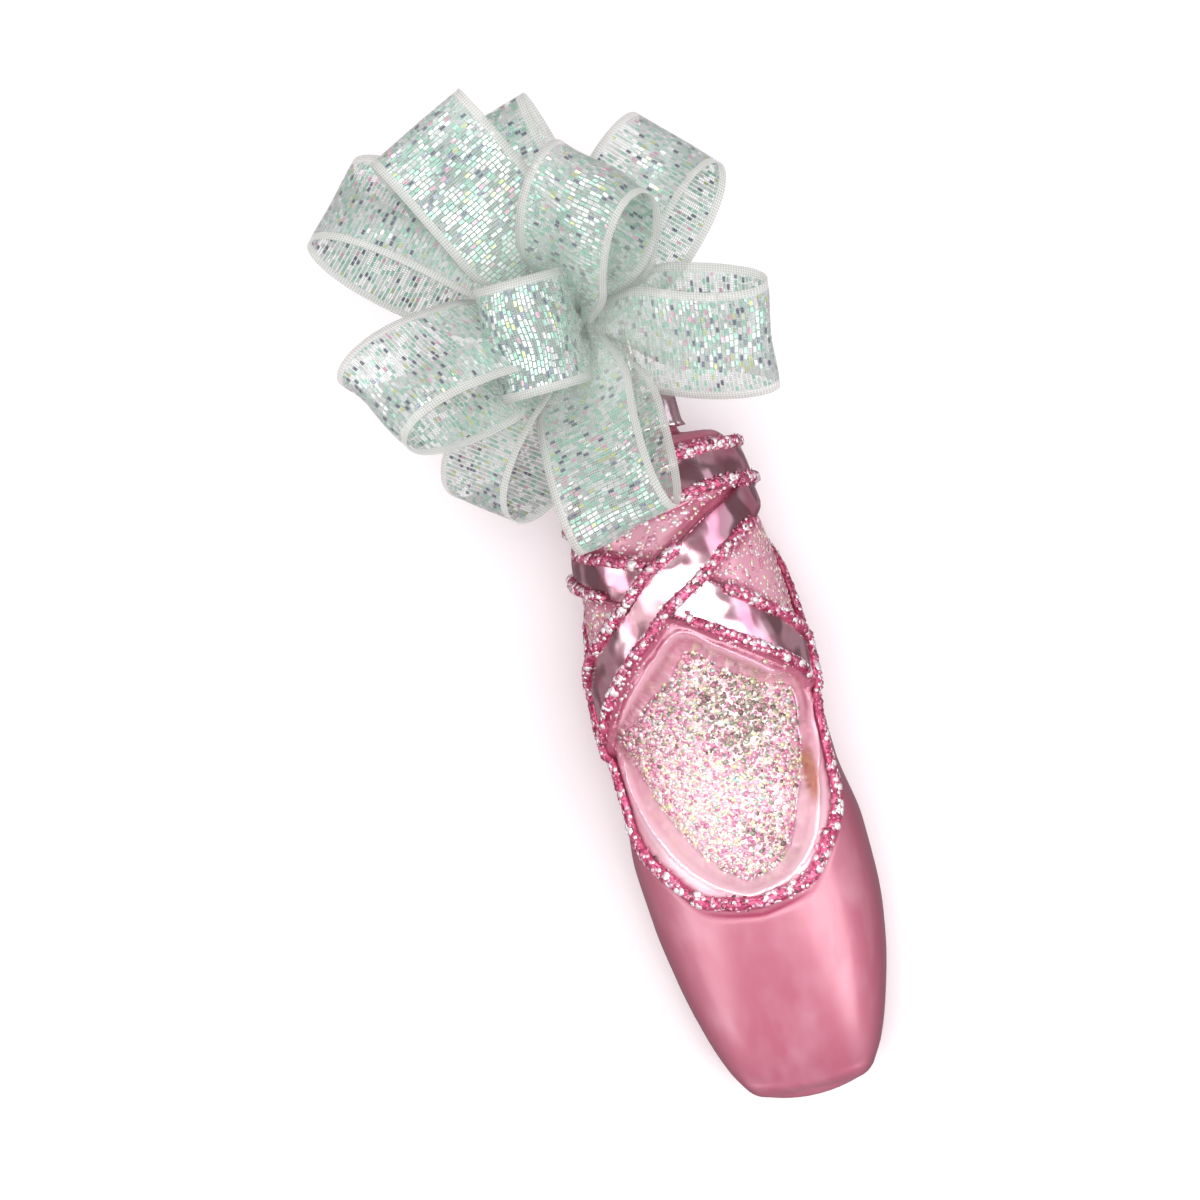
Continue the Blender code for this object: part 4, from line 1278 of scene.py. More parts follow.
def glitter_bed(name, dark, light):
    """What lies under the top flakes: more flakes, deep in their glue."""
    made = Nodes(name)
    cells = made.add("ShaderNodeTexVoronoi", {"Vector": made.place(), "Scale": 1900.0})
    split = made.add("ShaderNodeSeparateColor", {"Color": cells.outputs["Color"]})
    made.set(
        Base_Color=made.mix(split.outputs["Red"], dark, light),
        Metallic=0.55,
        Roughness=made.ramp(split.outputs["Green"], 0.0, 1.0, (0.2, 0.5)),
        Normal=made.bump(split.outputs["Blue"], 0.0003, 0.9),
    )
    return made.material


def cap_metal(finish):
    """Thin bright plated sheet with a little dulling here and there."""
    made = Nodes("Plated metal")
    worn = made.ramp(made.noise(900.0, 3.0), 0.35, 0.7)
    made.set(
        Base_Color=made.mix(worn, finish.metal, finish.dull_metal),
        Metallic=1.0,
        Roughness=made.ramp(worn, 0.0, 1.0, (0.16, 0.34)),
        Normal=made.bump(made.noise(1500.0, 2.0), 0.00008, 0.6),
    )
    return made.material


def film_colour(made, chance):
    """One of the film's colours for each shining thread, by chance."""
    tints = made.add("ShaderNodeValToRGB", {"Fac": chance})
    ramp = tints.color_ramp
    ramp.interpolation = "CONSTANT"
    for i, row in enumerate(FILM_TINTS):
        stop = ramp.elements[i] if i < 2 else ramp.elements.new(row.start)
        stop.position = row.start
        stop.color = (row.red, row.green, row.blue, 1.0)
    return tints.outputs["Color"]


def off_middle(made, running):
    """How far a running value is from the middle of its cell, from -0.5 to 0.5."""
    return made.math("SUBTRACT", made.math("FRACT", running), 0.5)


def inside_cell(made, offset, full, none):
    """1 around the middle of a cell, 0 between it and the next."""
    return made.ramp(made.math("ABSOLUTE", offset), full, none, (1.0, 0.0))


def wave(made, place, pitch):
    """A sine with one crest to each pitch."""
    return made.math("SINE", made.math("MULTIPLY", place, 2.0 * math.pi / pitch))


def sheer_ribbon(bow):
    """Sheer cloth with flat shining threads across it and plain woven edges; its UV is in metres."""
    made = Nodes("Sheer ribbon")
    uv = made.add("ShaderNodeUVMap", uv_map="UVMap").outputs["UV"]
    place = made.add("ShaderNodeSeparateXYZ", {"Vector": uv})
    run, across = place.outputs["X"], place.outputs["Y"]
    row = made.math("DIVIDE", run, bow.weft_pitch)
    number = made.math("FLOOR", row)
    stagger = made.add("ShaderNodeTexWhiteNoise", {"W": number}, noise_dimensions="1D").outputs["Value"]
    cell = made.math("ADD", made.math("DIVIDE", across, bow.cell_length), stagger)
    spot = made.add("ShaderNodeCombineXYZ", {"X": number, "Y": made.math("FLOOR", cell)}).outputs["Vector"]
    chance = made.add("ShaderNodeTexWhiteNoise", {"Vector": spot}, noise_dimensions="3D")
    parts = made.add("ShaderNodeSeparateColor", {"Color": chance.outputs["Color"]})
    in_row, in_cell = off_middle(made, row), off_middle(made, cell)
    tall, long = inside_cell(made, in_row, 0.30, 0.38), inside_cell(made, in_cell, 0.38, 0.44)
    kept = made.ramp(parts.outputs["Red"], 0.20, 0.24)
    shows = made.math("MULTIPLY", made.math("MULTIPLY", tall, long), kept)
    border = BOW_RIBBON_WIDTH / 2.0 - bow.selvedge
    edge = made.ramp(made.math("ABSOLUTE", across), border - SELVEDGE_SOFT, border + SELVEDGE_SOFT)
    shows = made.math("MULTIPLY", shows, made.math("SUBTRACT", 1.0, edge))
    far = made.mask("far")
    shows = made.math("MULTIPLY", shows, made.ramp(far, 0.10, 0.60, (0.22, 1.0)))
    threads = made.math("MAXIMUM", wave(made, across, SHEER_WARP_PITCH), wave(made, run, SHEER_WEFT_PITCH))
    threads = made.ramp(threads, 0.55, 0.95)
    cloth = made.mix(far, bow.cloth, bow.cloth_far)
    colour = made.mix(shows, cloth, film_colour(made, parts.outputs["Green"]))
    colour = made.mix(edge, colour, bow.edge)
    sheer = made.ramp(threads, 0.0, 1.0, (0.14, 0.44))
    woven = made.ramp(threads, 0.0, 1.0, (0.45, 0.75))
    lean = made.math("MULTIPLY", in_row, made.math("SUBTRACT", parts.outputs["Blue"], 0.5))
    tip = made.math("MULTIPLY", in_cell, made.math("SUBTRACT", chance.outputs["Value"], 0.5))
    slant = made.math("MULTIPLY", made.math("ADD", lean, tip), 3.0)
    height = made.math("ADD", made.math("MULTIPLY", threads, 0.4), made.math("MULTIPLY", shows, slant))
    made.set(
        Base_Color=colour,
        Metallic=made.math("MULTIPLY", shows, 0.6),
        Roughness=made.blend(shows, 0.55, 0.18),
        Alpha=made.blend(edge, made.blend(shows, sheer, 0.86), woven),
        Normal=made.bump(height, 0.00010, 0.8),
        Sheen_Weight=0.25,
        Sheen_Roughness=0.4,
    )
    made.material.use_transparency_overlap = True
    return made.material


def floor_finish():
    """Plain pale board, a little uneven."""
    made = Nodes("Pale floor")
    patches = made.ramp(made.noise(6.0, 2.0), 0.3, 0.7)
    made.set(Base_Color=made.mix(patches, *FLOOR_COLOURS), Roughness=0.8)
    return made.material


def painted_shade_mask(points, along, turn, ribbon, facing_up):
    """Painted shade: darker pink beside the glitter, along the ribbons' edges, in the throat's fold and
    round the toe platform.
    """
    past = past_topline(along, turn)
    beside = ease(GROOVE_FULL - np.abs(past + CREASE_PLACE) / GROOVE_HALF) * GROOVE_PINK * (1.0 - ribbon)
    within = in_ribbon(along, turn, EDGE_INSIDE, EDGE_SOFT)
    edges = in_ribbon(along, turn, EDGE_OUTSIDE, EDGE_SOFT) * (1.0 - within)
    edges = edges * ease(past / TOPLINE_SOFT) * EDGE_PINK
    depth = throat_share(points[:, 0], points[:, 1])
    by_ankle = ease((points[:, 1] - y_at(THROAT_ALONG)) / FOLD_FADE)
    fold = np.exp(-((depth - FOLD_DEPTH) / FOLD_WIDTH) ** 2) * (FOLD_PINK + FOLD_ANKLE_PINK * by_ankle)
    platform = ease(0.5 - past_ridge(along, turn) / PLATFORM_SOFT) * PLATFORM_PINK
    return np.maximum.reduce([beside, edges, fold * facing_up, platform])


def throat_mask(points, along, turn, ribbon, facing_up):
    """The smooth pink of the throat's wall, its lip and the ankle between the ribbons."""
    past = past_topline(along, turn)
    depth = throat_share(points[:, 0], points[:, 1])
    wall = ease(depth / THROAT_SOFT) * facing_up
    lip = ease(past / LIP_SOFT) * ease((depth + LIP_REACH) / LIP_FADE) * facing_up
    ankle = ease(past / ANKLE_SOFT) * ease((ANKLE_END - along) / ANKLE_FADE) * ANKLE_PINK
    return np.maximum.reduce([wall, lip * (1.0 - ribbon), ankle * (1.0 - ribbon)])


def side_shade_mask(along, turn):
    """Painted shade: the lacquer darker down the shoe's sides, less so towards the sole."""
    aside = np.abs(wrapped(turn))
    under = ease((aside - UNDER_TURN) / UNDER_FADE)
    deep = ease((aside - SIDE_SHADE_TURN) / SIDE_SHADE_FADE) * (SIDE_SHADE_SHARE - UNDER_SHARE * under)
    return deep * (past_topline(along, turn) < 0.0)


def bare_mask(points):
    """The small patch where the throat's lacquer is thin."""
    across = (points[:, 0] - BARE_PATCH.x) / BARE_PATCH_WIDTH
    patch = np.hypot(across, (points[:, 1] - BARE_PATCH.y) / BARE_PATCH.reach)
    return ease((BARE_PATCH_EDGE - patch) / BARE_PATCH_SOFT) * BARE_PATCH.depth


def colour_masks(points, along, turn, on_outside):
    """How far each colour covers each point of the glass, from 0 to 1."""
    facing_up = np.abs(wrapped(turn)) < CROWN_TURN
    in_throat = ease(throat_share(points[:, 0], points[:, 1]) / THROAT_SOFT) * facing_up
    ribbon = in_ribbon(along, turn) * (1.0 - in_throat) * ease(past_topline(along, turn) / TOPLINE_SOFT)
    throat = throat_mask(points, along, turn, ribbon, facing_up)
    masks = {
        # Painted shade: darker lacquer down the sides
        "deep": side_shade_mask(along, turn),
        "ribbon": ribbon,
        "throat": throat,
        # Painted shade in the creases and round the toe platform
        "painted_shade": painted_shade_mask(points, along, turn, ribbon, facing_up),
        "bare": bare_mask(points) * throat,
    }
    return {name: mask * on_outside for name, mask in masks.items()}


class ORNAMENT_OT_blown_shoe(bpy.types.Operator):
    """Make the smooth blown glass: the shoe, its sole, its ribbons and its throat in one skin"""

    bl_idname = "ornament.blown_shoe"
    bl_label = "Blown shoe"

    def execute(self, context):
        turns = column_turns()
        rings, alongs = glass_rings(turns)
        bm, column, row = grid(len(turns) - 1, len(rings) - 1)
        points = np.array(rings)[row, column]
        set_points(bm, points)
        first = len(PLATFORM_SHARES)
        along = np.interp(row - first, np.arange(len(alongs)), alongs)
        on_outside = row < len(alongs) + first
        for name, mask in colour_masks(points, along, turns[column], on_outside).items():
            set_mask(bm, name, mask)
        weld(bm)
        piece = finished(bm, "blown_shoe", lacquered_glass(context.scene.ornament_finish))
        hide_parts("glass_shoe")
        return {"FINISHED"}


def flake_points(centres, normals, sizes, thickness, rng):
    """The corners of each flake: its upper ring, then its lower one."""
    spin = rng.uniform(0.0, math.pi / 3.0, len(centres))
    upright = np.abs(normals[:, 2:3]) < UPRIGHT_SHARE
    helper = np.where(upright, [[0.0, 0.0, 1.0]], [[1.0, 0.0, 0.0]])
    first = unit(np.cross(normals, helper))
    second = np.cross(normals, first)
    angles = spin[:, None] + np.arange(FLAKE_SIDES) * 2.0 * math.pi / FLAKE_SIDES
    out = first[:, None, :] * np.cos(angles)[..., None] + second[:, None, :] * np.sin(angles)[..., None]
    ring = centres[:, None, :] + out * (sizes / 2.0)[:, None, None]
    half = (normals * thickness / 2.0)[:, None, :]
    return np.concatenate([ring + half, ring - half], axis=1).reshape(-1, 3)


def flake_faces():
    """A flake's top, its underside and its edge faces, by corner."""
    top = np.arange(FLAKE_SIDES)
    following = (top + 1) % FLAKE_SIDES
    edge = [(i, i + FLAKE_SIDES, j + FLAKE_SIDES, j) for i, j in zip(top, following)]
    return [tuple(top), tuple(top[::-1] + FLAKE_SIDES)] + edge


def flakes(name, centres, normals, sizes, tints, thickness, material, rng):
    """One mesh of thin six-sided flakes, each with its own colour."""
    count = len(centres)
    points = flake_points(centres, normals, sizes, thickness, rng)
    shape = flake_faces()
    corners = np.concatenate([np.array(face) for face in shape])
    corners = (corners[None, :] + np.arange(count)[:, None] * 2 * FLAKE_SIDES).ravel()
    lengths = np.tile([len(face) for face in shape], count)
    mesh = bpy.data.meshes.new(name)
    mesh.vertices.add(len(points))
    mesh.vertices.foreach_set("co", points.ravel())
    mesh.loops.add(len(corners))
    mesh.loops.foreach_set("vertex_index", corners)
    mesh.polygons.add(len(lengths))
    mesh.polygons.foreach_set("loop_start", np.concatenate([[0], np.cumsum(lengths)[:-1]]))
    mesh.update(calc_edges=True)
    mesh.validate()
    colours = mesh.color_attributes.new("flake", "FLOAT_COLOR", "POINT")
    tints = np.repeat(np.concatenate([tints, np.ones((count, 1))], axis=1), 2 * FLAKE_SIDES, axis=0)
    colours.data.foreach_set("color", tints.ravel())
    mesh.materials.append(material)
    piece = bpy.data.objects.new(name, mesh)
    bpy.context.scene.collection.objects.link(piece)
    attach(piece, "root")
    return piece


def pick_tints(table, count, rng):
    """A colour from the table for each flake, as often as the table's shares say."""
    shares = np.array([row.share for row in table])
    pick = rng.choice(len(table), count, p=shares / shares.sum())
    tints = np.array([(row.red, row.green, row.blue) for row in table])[pick]
    return np.clip(tints * rng.uniform(0.86, 1.06, (count, 1)), 0.0, 1.0)


def tilted(normals, most, rng):
    """The normals turned a random way, by up to the given share of a right angle."""
    return unit(normals + rng.normal(0.0, most, normals.shape))


def flake_sizes(glitter, count, rng):
    """Mostly small flakes, with a few large ones."""
    larger = FLAKE_SPREAD * rng.uniform(0.0, 1.0, count) ** FLAKE_SPREAD_POWER
    return glitter.flake_size * (FLAKE_SMALLEST + larger)


def sheet_rise(points, share):
    """Height of the throat's glue over the floor: share is 0 in the middle and 1 at its edge."""
    edge = np.sqrt(np.clip(1.0 - share ** SHEET_SQUARE, 0.0, 1.0))
    return (SHEET_HEIGHT + SHEET_LUMP * lumps(points)) * edge


def travel_along(points):
    """The distance along a line at each of its points."""
    steps = np.linalg.norm(np.diff(points, axis=0), axis=1)
    return np.concatenate([[0.0], np.cumsum(steps)])


def line_axes(points, ups, closed):
    """Unit vectors across a line and square to the glass, at each of its points."""
    ahead = np.gradient(points, axis=0)
    if closed:
        ahead[0] = ahead[-1] = points[1] - points[-2]
    ups = unit(ups)
    return unit(np.cross(ahead, ups)), ups


def dome(share):
    """Height across a glitter line, as a share of its full height."""
    return np.sqrt(np.clip(1.0 - np.abs(share) ** LINE_SQUARE, 0.0, 1.0))


def lumps(points):
    """The unevenness of glue laid by hand, from -1 to 1."""
    x, y = points[..., 0] * 1000.0, points[..., 1] * 1000.0
    return (np.sin(1.9 * x + 0.7 * y) + np.sin(2.3 * y - 1.1 * x + 1.0) + np.sin(0.8 * x + 1.3 * y)) / 3.0


def glue_line(name, points, ups, width, closed, material):
    """The body of a glitter line: a low dome of glue pressed onto the glass."""
    aside, ups = line_axes(points, ups, closed)
    travel = travel_along(points)
    ends = np.minimum(travel, travel[-1] - travel)
    grown = np.ones(len(points)) if closed else np.sqrt(np.clip(ends / width, 0.0, 1.0))
    grown = grown * (1.0 + LUMP_SHARE * lumps(points))
    top = np.sin(np.linspace(-0.5, 0.5, LINE_TOP_POINTS) * math.pi)
    across = np.concatenate([top, [0.5, 0.0, -0.5, -1.0]])
    high = np.concatenate([dome(top) * LINE_HEIGHT, [-LINE_ROOT] * 3, [0.0]])
    bm, i, j = grid(len(points) - 1, len(across) - 1)
    outwards = aside[i] * (across[j] * grown[i] * width / 2.0)[:, None]
    upwards = ups[i] * (high[j] * grown[i])[:, None]
    set_points(bm, points[i] + outwards + upwards)
    weld(bm)
    return finished(bm, name, material)


def along_line(points, ups, width, closed, glitter, rng):
    """Centres and normals of the flakes that lie on a glitter line."""
    aside, ups = line_axes(points, ups, closed)
    travel = travel_along(points)
    count = int(travel[-1] * glitter.flakes_per_metre)
    at = rng.uniform(0.0, travel[-1], count)

    def there(values):
        return np.stack([np.interp(at, travel, values[:, k]) for k in range(3)], axis=1)

    up, out = unit(there(ups)), unit(there(aside))
    share = rng.uniform(-LINE_OVERHANG, LINE_OVERHANG, count)
    height = dome(share) * LINE_HEIGHT * (1.0 + LUMP_SHARE * lumps(there(points)))
    height = height + rng.uniform(0.0, LINE_LOOSE, count)
    step = 0.01
    slope = (dome(share + step) - dome(share - step)) / (2.0 * step) * LINE_HEIGHT / (width / 2.0)
    centres = there(points) + out * (share * width / 2.0)[:, None] + up * height[:, None]
    normals = unit(up - out * np.clip(slope, -LINE_STEEPEST, LINE_STEEPEST)[:, None])
    return centres, tilted(normals, LINE_FLAKE_TILT, rng)


def topline_path():
    """The topline from the crown round to the sole, and back up the other side."""
    turn = spread(TOPLINE_RUNS)
    along = read(TOPLINE, "along", turn)
    back = slice(-2, None, -1)
    return np.concatenate([along, along[back]]), np.concatenate([turn, -turn[back]])


def line_path(line):
    """A line a little inside a ribbon's edge."""
    band = BANDS[line.ribbon]
    steps = max(LINE_LEAST_STEPS, int((line.last - line.first) * LINE_STEPS_A_DEGREE))
    turn = np.linspace(line.first, line.last, steps)
    half = ribbon_half(band, turn) * (1.0 - 2.0 * EDGE_INSET / (read(band, "width", turn) * RIBBON_WIDTH))
    return read(band, "along", turn) + line.side * half, turn


def on_glass(along, turn):
    """Points of the glass, smoothed across the ribbons' edges so that a line rides over them."""
    reach = LINE_RIDE / SHOE_LENGTH
    height = sum(relief(along + step, turn) for step in (-reach, 0.0, reach)) / 3.0
    return skin(along, turn, np.maximum(height, relief(along, turn)))


class ORNAMENT_OT_line_glitter(bpy.types.Operator):
    """Lay pink flakes in lines of glue along the topline and the ribbons' edges"""

    bl_idname = "ornament.line_glitter"
    bl_label = "Pink glitter lines"

    def execute(self, context):
        glitter = context.scene.ornament_glitter
        film = flake_material("Pink flakes", 0.22)
        glue = glitter_bed("Pink glue", *PINK_GLUE)
        rng = np.random.default_rng(PINK_SEED)
        wide = glitter.line_width * TOPLINE_GROWTH
        self.lay("topline", [topline_path()], wide, glitter, glue, film, rng)
        for ribbon in BANDS:
            paths = [line_path(line) for line in RIBBON_LINES if line.ribbon == ribbon]
            self.lay(f"{ribbon}_ribbon", paths, glitter.line_width, glitter, glue, film, rng)
        return {"FINISHED"}

    def lay(self, name, paths, width, glitter, glue, film, rng):
        """Glue along each path, and one mesh of flakes on all of them."""
        sets = []
        nodes = [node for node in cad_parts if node.startswith(LINE_NODES[name])]
        for number, (along, turn) in enumerate(paths):
            points, ups = on_glass(along, turn), up_from_glass(along, turn)
            closed = bool(np.allclose(points[0], points[-1], atol=10.0 * WELD))
            piece = glue_line(f"{name}_glue_{number}", points, ups, width, closed, glue)
            for node in nodes:
                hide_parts(node)
            sets.append(along_line(points, ups, width, closed, glitter, rng))
        centres, normals = (np.concatenate(part) for part in zip(*sets))
        if name == "wrap_ribbon":
            more, facing_out = self.shoulder_places(rng)
            centres, normals = np.concatenate([centres, more]), np.concatenate([normals, facing_out])
        sizes = flake_sizes(glitter, len(centres), rng)
        tints = pick_tints(PINK_TINTS, len(centres), rng)
        # Painted highlights: the white flakes stand as glints, larger and a little higher
        glint = tints.min(axis=1) > GLINT_FLAKE_PALEST
        sizes = np.where(glint, sizes * GLINT_FLAKE_GROWTH, sizes)
        centres = centres + normals * (glint * GLINT_FLAKE_LIFT)[:, None]
        piece = flakes(f"{name}_flakes", centres, normals, sizes, tints, glitter.flake_thickness, film, rng)

    def shoulder_places(self, rng):
        """Stray flakes on the shoulder over the wrap."""
        along = rng.uniform(*SHOULDER_SPAN, SHOULDER_FLAKES)
        turn = rng.uniform(-180.0, 180.0, SHOULDER_FLAKES)
        up = facing(along, turn)
        return outer(along, turn) + up * FLAKE_LIFT, tilted(up, FLAKE_TILT, rng)


class ORNAMENT_OT_pearl_glitter(bpy.types.Operator):
    """Lay pearl flakes on the throat's floor and between the ankle's ribbons"""

    bl_idname = "ornament.pearl_glitter"
    bl_label = "Pearl glitter"

    def execute(self, context):
        glitter = context.scene.ornament_glitter
        film = flake_material("Pearl flakes", 0.25)
        rng = np.random.default_rng(PEARL_SEED)
        self.sheet()
        for piece in (self.throat(glitter, film, rng), self.patches(glitter, film, rng)):
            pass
        return {"FINISHED"}

    def sheet(self):
        """The glue under the throat's flakes, laid on the floor with a soft edge."""
        bm, spoke, ring = grid(SHEET_SPOKES, 2 * SHEET_ROUNDS)
        turn = spoke * 360.0 / SHEET_SPOKES
        share = 1.0 - np.abs(ring / SHEET_ROUNDS - 1.0)
        distance = read(THROAT, "floor", turn) * THROAT_REACH * share
        x = THROAT_X + distance * np.sin(np.radians(turn))
        y = y_at(THROAT_ALONG) - distance * np.cos(np.radians(turn))
        rise = np.where(ring <= SHEET_ROUNDS, sheet_rise(np.stack([x, y], axis=1), share), -SHEET_ROOT)
        set_points(bm, np.stack([x, y, floor_height(x, y) + rise], axis=1))
        weld(bm)
        piece = finished(bm, "throat_glue", glitter_bed("Pearl glue", *PEARL_GLUE))
        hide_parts("throat_glitter_sheet")

    def throat(self, glitter, film, rng):
        """Flakes strewn over the throat's floor, with a ragged edge."""
        count = glitter.throat_flakes * THROAT_TRIES
        x = THROAT_X + rng.uniform(-1.0, 1.0, count) * THROAT_REACH
        y = y_at(THROAT_ALONG) + rng.uniform(-1.0, 1.0, count) * THROAT_REACH
        turn, distance = throat_polar(x, y)
        edge = read(THROAT, "floor", turn) * THROAT_REACH + rng.normal(*FLOOR_EDGE_SPREAD, count)
        keep = np.nonzero(distance < edge)[0][: glitter.throat_flakes]
        x, y, share = x[keep], y[keep], (distance / edge)[keep]
        rise = sheet_rise(np.stack([x, y], axis=1), share) + rng.uniform(0.0, FLAKE_DEPTH, len(x))
        centres = np.stack([x, y, floor_height(x, y) + rise], axis=1)
        slope = 2.0 * FLOOR_BOW * (x - THROAT_X) / THROAT_REACH ** 2
        up = unit(np.stack([slope, np.full(len(x), FLOOR_LEAN), np.ones(len(x))], axis=1))
        tints = self.throat_tints(x, y, rng)
        up = tilted(up, FLAKE_TILT, rng)
        sizes = flake_sizes(glitter, len(x), rng)
        return flakes("throat_flakes", centres, up, sizes, tints, glitter.flake_thickness, film, rng)

    def throat_tints(self, x, y, rng):
        """Pearl tints, with painted shade and painted light: darker or lighter flakes where the throat's
        shades say.
        """
        dark = np.full(len(x), SHADE_SHARE)
        for row in THROAT_SHADES:
            dark += row.depth * np.exp(-((x - row.x) ** 2 + (y - row.y) ** 2) / row.reach ** 2)
        shaded = rng.uniform(0.0, 1.0, len(x)) < dark
        dim, pearl = pick_tints(SHADE_TINTS, len(x), rng), pick_tints(PEARL_TINTS, len(x), rng)
        tints = np.where(shaded[:, None], dim, pearl)
        lit = rng.uniform(0.0, 1.0, len(x)) < -LIGHT_SHARE * dark
        return np.where(lit[:, None], pick_tints(LIGHT_TINTS, len(x), rng), tints)

    def patches(self, glitter, film, rng):
        """Flakes on the bare glass between the ribbons, thinning out to the back."""
        count = glitter.patch_flakes * PATCH_TRIES
        along = rng.uniform(*PATCH_SPAN, count)
        turn = rng.uniform(-PATCH_TURN, PATCH_TURN, count)
        points = skin(along, turn)
        bare = (relief(along, turn) < PATCH_RELIEF) & (past_topline(along, turn) > PATCH_CLEAR)
        clear = throat_share(points[:, 0], points[:, 1]) < PATCH_THROAT_CLEAR
        clear |= np.abs(turn) > PATCH_SIDE_TURN
        keep = np.nonzero(bare & clear)[0][: glitter.patch_flakes]
        along, turn = along[keep], turn[keep]
        up = facing(along, turn)
        centres = outer(along, turn) + up * rng.uniform(*FLAKE_LIFTS, (len(along), 1))
        up = tilted(up, FLAKE_TILT, rng)
        sizes = flake_sizes(glitter, len(along), rng)
        tints = pick_tints(PATCH_TINTS, len(along), rng)
        return flakes("ankle_flakes", centres, up, sizes, tints, glitter.flake_thickness, film, rng)


class ORNAMENT_OT_cap_and_wire(bpy.types.Operator):
    """Make the crimped cap, and finish the hanger wire"""

    bl_idname = "ornament.cap_and_wire"
    bl_label = "Cap and wire"

    def execute(self, context):
        metal = cap_metal(context.scene.ornament_finish)
        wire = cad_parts["hanger_wire"]
        wire.data.materials.clear()
        wire.data.materials.append(metal)
        low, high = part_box("neck_cap")
        bm = self.turned(low[1], high[1])
        self.flute(bm, low[1], high[1])
        piece = finished(bm, "crimped_cap", metal)
        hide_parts("neck_cap")
        return {"FINISHED"}

    def turned(self, base, top):
        """The cap's profile, from its middle out over the wall and back inside, spun round the neck."""
        inside = NECK_RADIUS + CAP_GAP
        outside = inside + CAP_SHEET
        profile = [(0.0, top)]
        profile += [(outside + step.out, top + step.up) for step in CAP_SHOULDER]
        profile += [(outside + step.out, base + step.up) for step in CAP_HEM]
        profile += [(inside + step.out, base + step.up) for step in CAP_HEM_INSIDE]
        profile += [(inside, top - CAP_SHEET), (0.0, top - CAP_SHEET)]
        bm = bmesh.new()
        verts = [bm.verts.new((NECK_X + out, y, NECK_HEIGHT)) for out, y in profile]
        edges = [bm.edges.new(pair) for pair in zip(verts, verts[1:])]
        bmesh.ops.spin(
            bm,
            geom=verts + edges,
            cent=(NECK_X, 0.0, NECK_HEIGHT),
            axis=(0.0, 1.0, 0.0),
            angle=2.0 * math.pi,
            steps=CAP_STEPS,
            use_merge=True,
            use_duplicate=False,
        )
        weld(bm)
        return bm

    def flute(self, bm, base, top):
        """Flutes in the cap's skirt, deeper towards its hem."""
        for vertex in bm.verts:
            out = Vector((vertex.co.x - NECK_X, 0.0, vertex.co.z - NECK_HEIGHT))
            skirt = ease((top + CAP_SHOULDER[-1].up - vertex.co.y) / (top - base))
            if out.length > NECK_RADIUS + CAP_GAP / 2.0:
                flute = math.cos(CAP_FLUTES * math.atan2(out.z, out.x))
                vertex.co += out.normalized() * float(skirt) * CAP_FLUTE_DEPTH * flute


def loop_frame(loop):
    """Unit vectors out along a bow loop, across its ribbon and over it."""
    turn, rise, roll = (math.radians(a) for a in (loop.turn, loop.rise, loop.roll))
    level = np.array([math.sin(turn), math.cos(turn), 0.0])
    out = level * math.cos(rise) + np.array([0.0, 0.0, math.sin(rise)])
    aside = np.array([math.cos(turn), -math.sin(turn), 0.0])
    over = np.cross(aside, out)
    over *= math.copysign(1.0, over[2])
    across = aside * math.cos(roll) + over * math.sin(roll)
    return out, across, over * math.cos(roll) - aside * math.sin(roll)


def loop_points(loop, share, side):
    """Points of a bow loop: share runs round it, side from -1 to 1 across its ribbon."""
    out, across, over = loop_frame(loop)
    angle = 2.0 * math.pi * share
    reach, opening = loop.reach * BOW_RIBBON_WIDTH, loop.opening * BOW_RIBBON_WIDTH
    far = reach * (1.0 - np.cos(angle)) / 2.0
    high = opening * np.sin(angle) * np.sin(angle / 2.0) / LOOP_SWELL
    apart = LOOP_PARTING * np.cos(angle / 2.0)
    outward = np.sin(math.pi * share)
    open_out = ease(LOOP_OPENS * outward ** 2)
    wide = LOOP_WAIST + (1.0 - LOOP_WAIST) * open_out
    pleats = (1.0 - open_out) * LOOP_PLEAT * np.cos(3.0 * math.pi * side)
    cup = loop.curl * LOOP_CUP * (side ** 2 - LOOP_CUP_LEVEL) * outward
    sway = LOOP_WAVE * np.sin(2.0 * angle + 4.0 * side + loop.turn) * outward
    points = np.array(bow_middle())[None, :] + out * far[:, None]
    points = points + over * (high + apart + pleats + cup + sway)[:, None]
    return points + across * (side * wide * BOW_RIBBON_WIDTH / 2.0)[:, None]


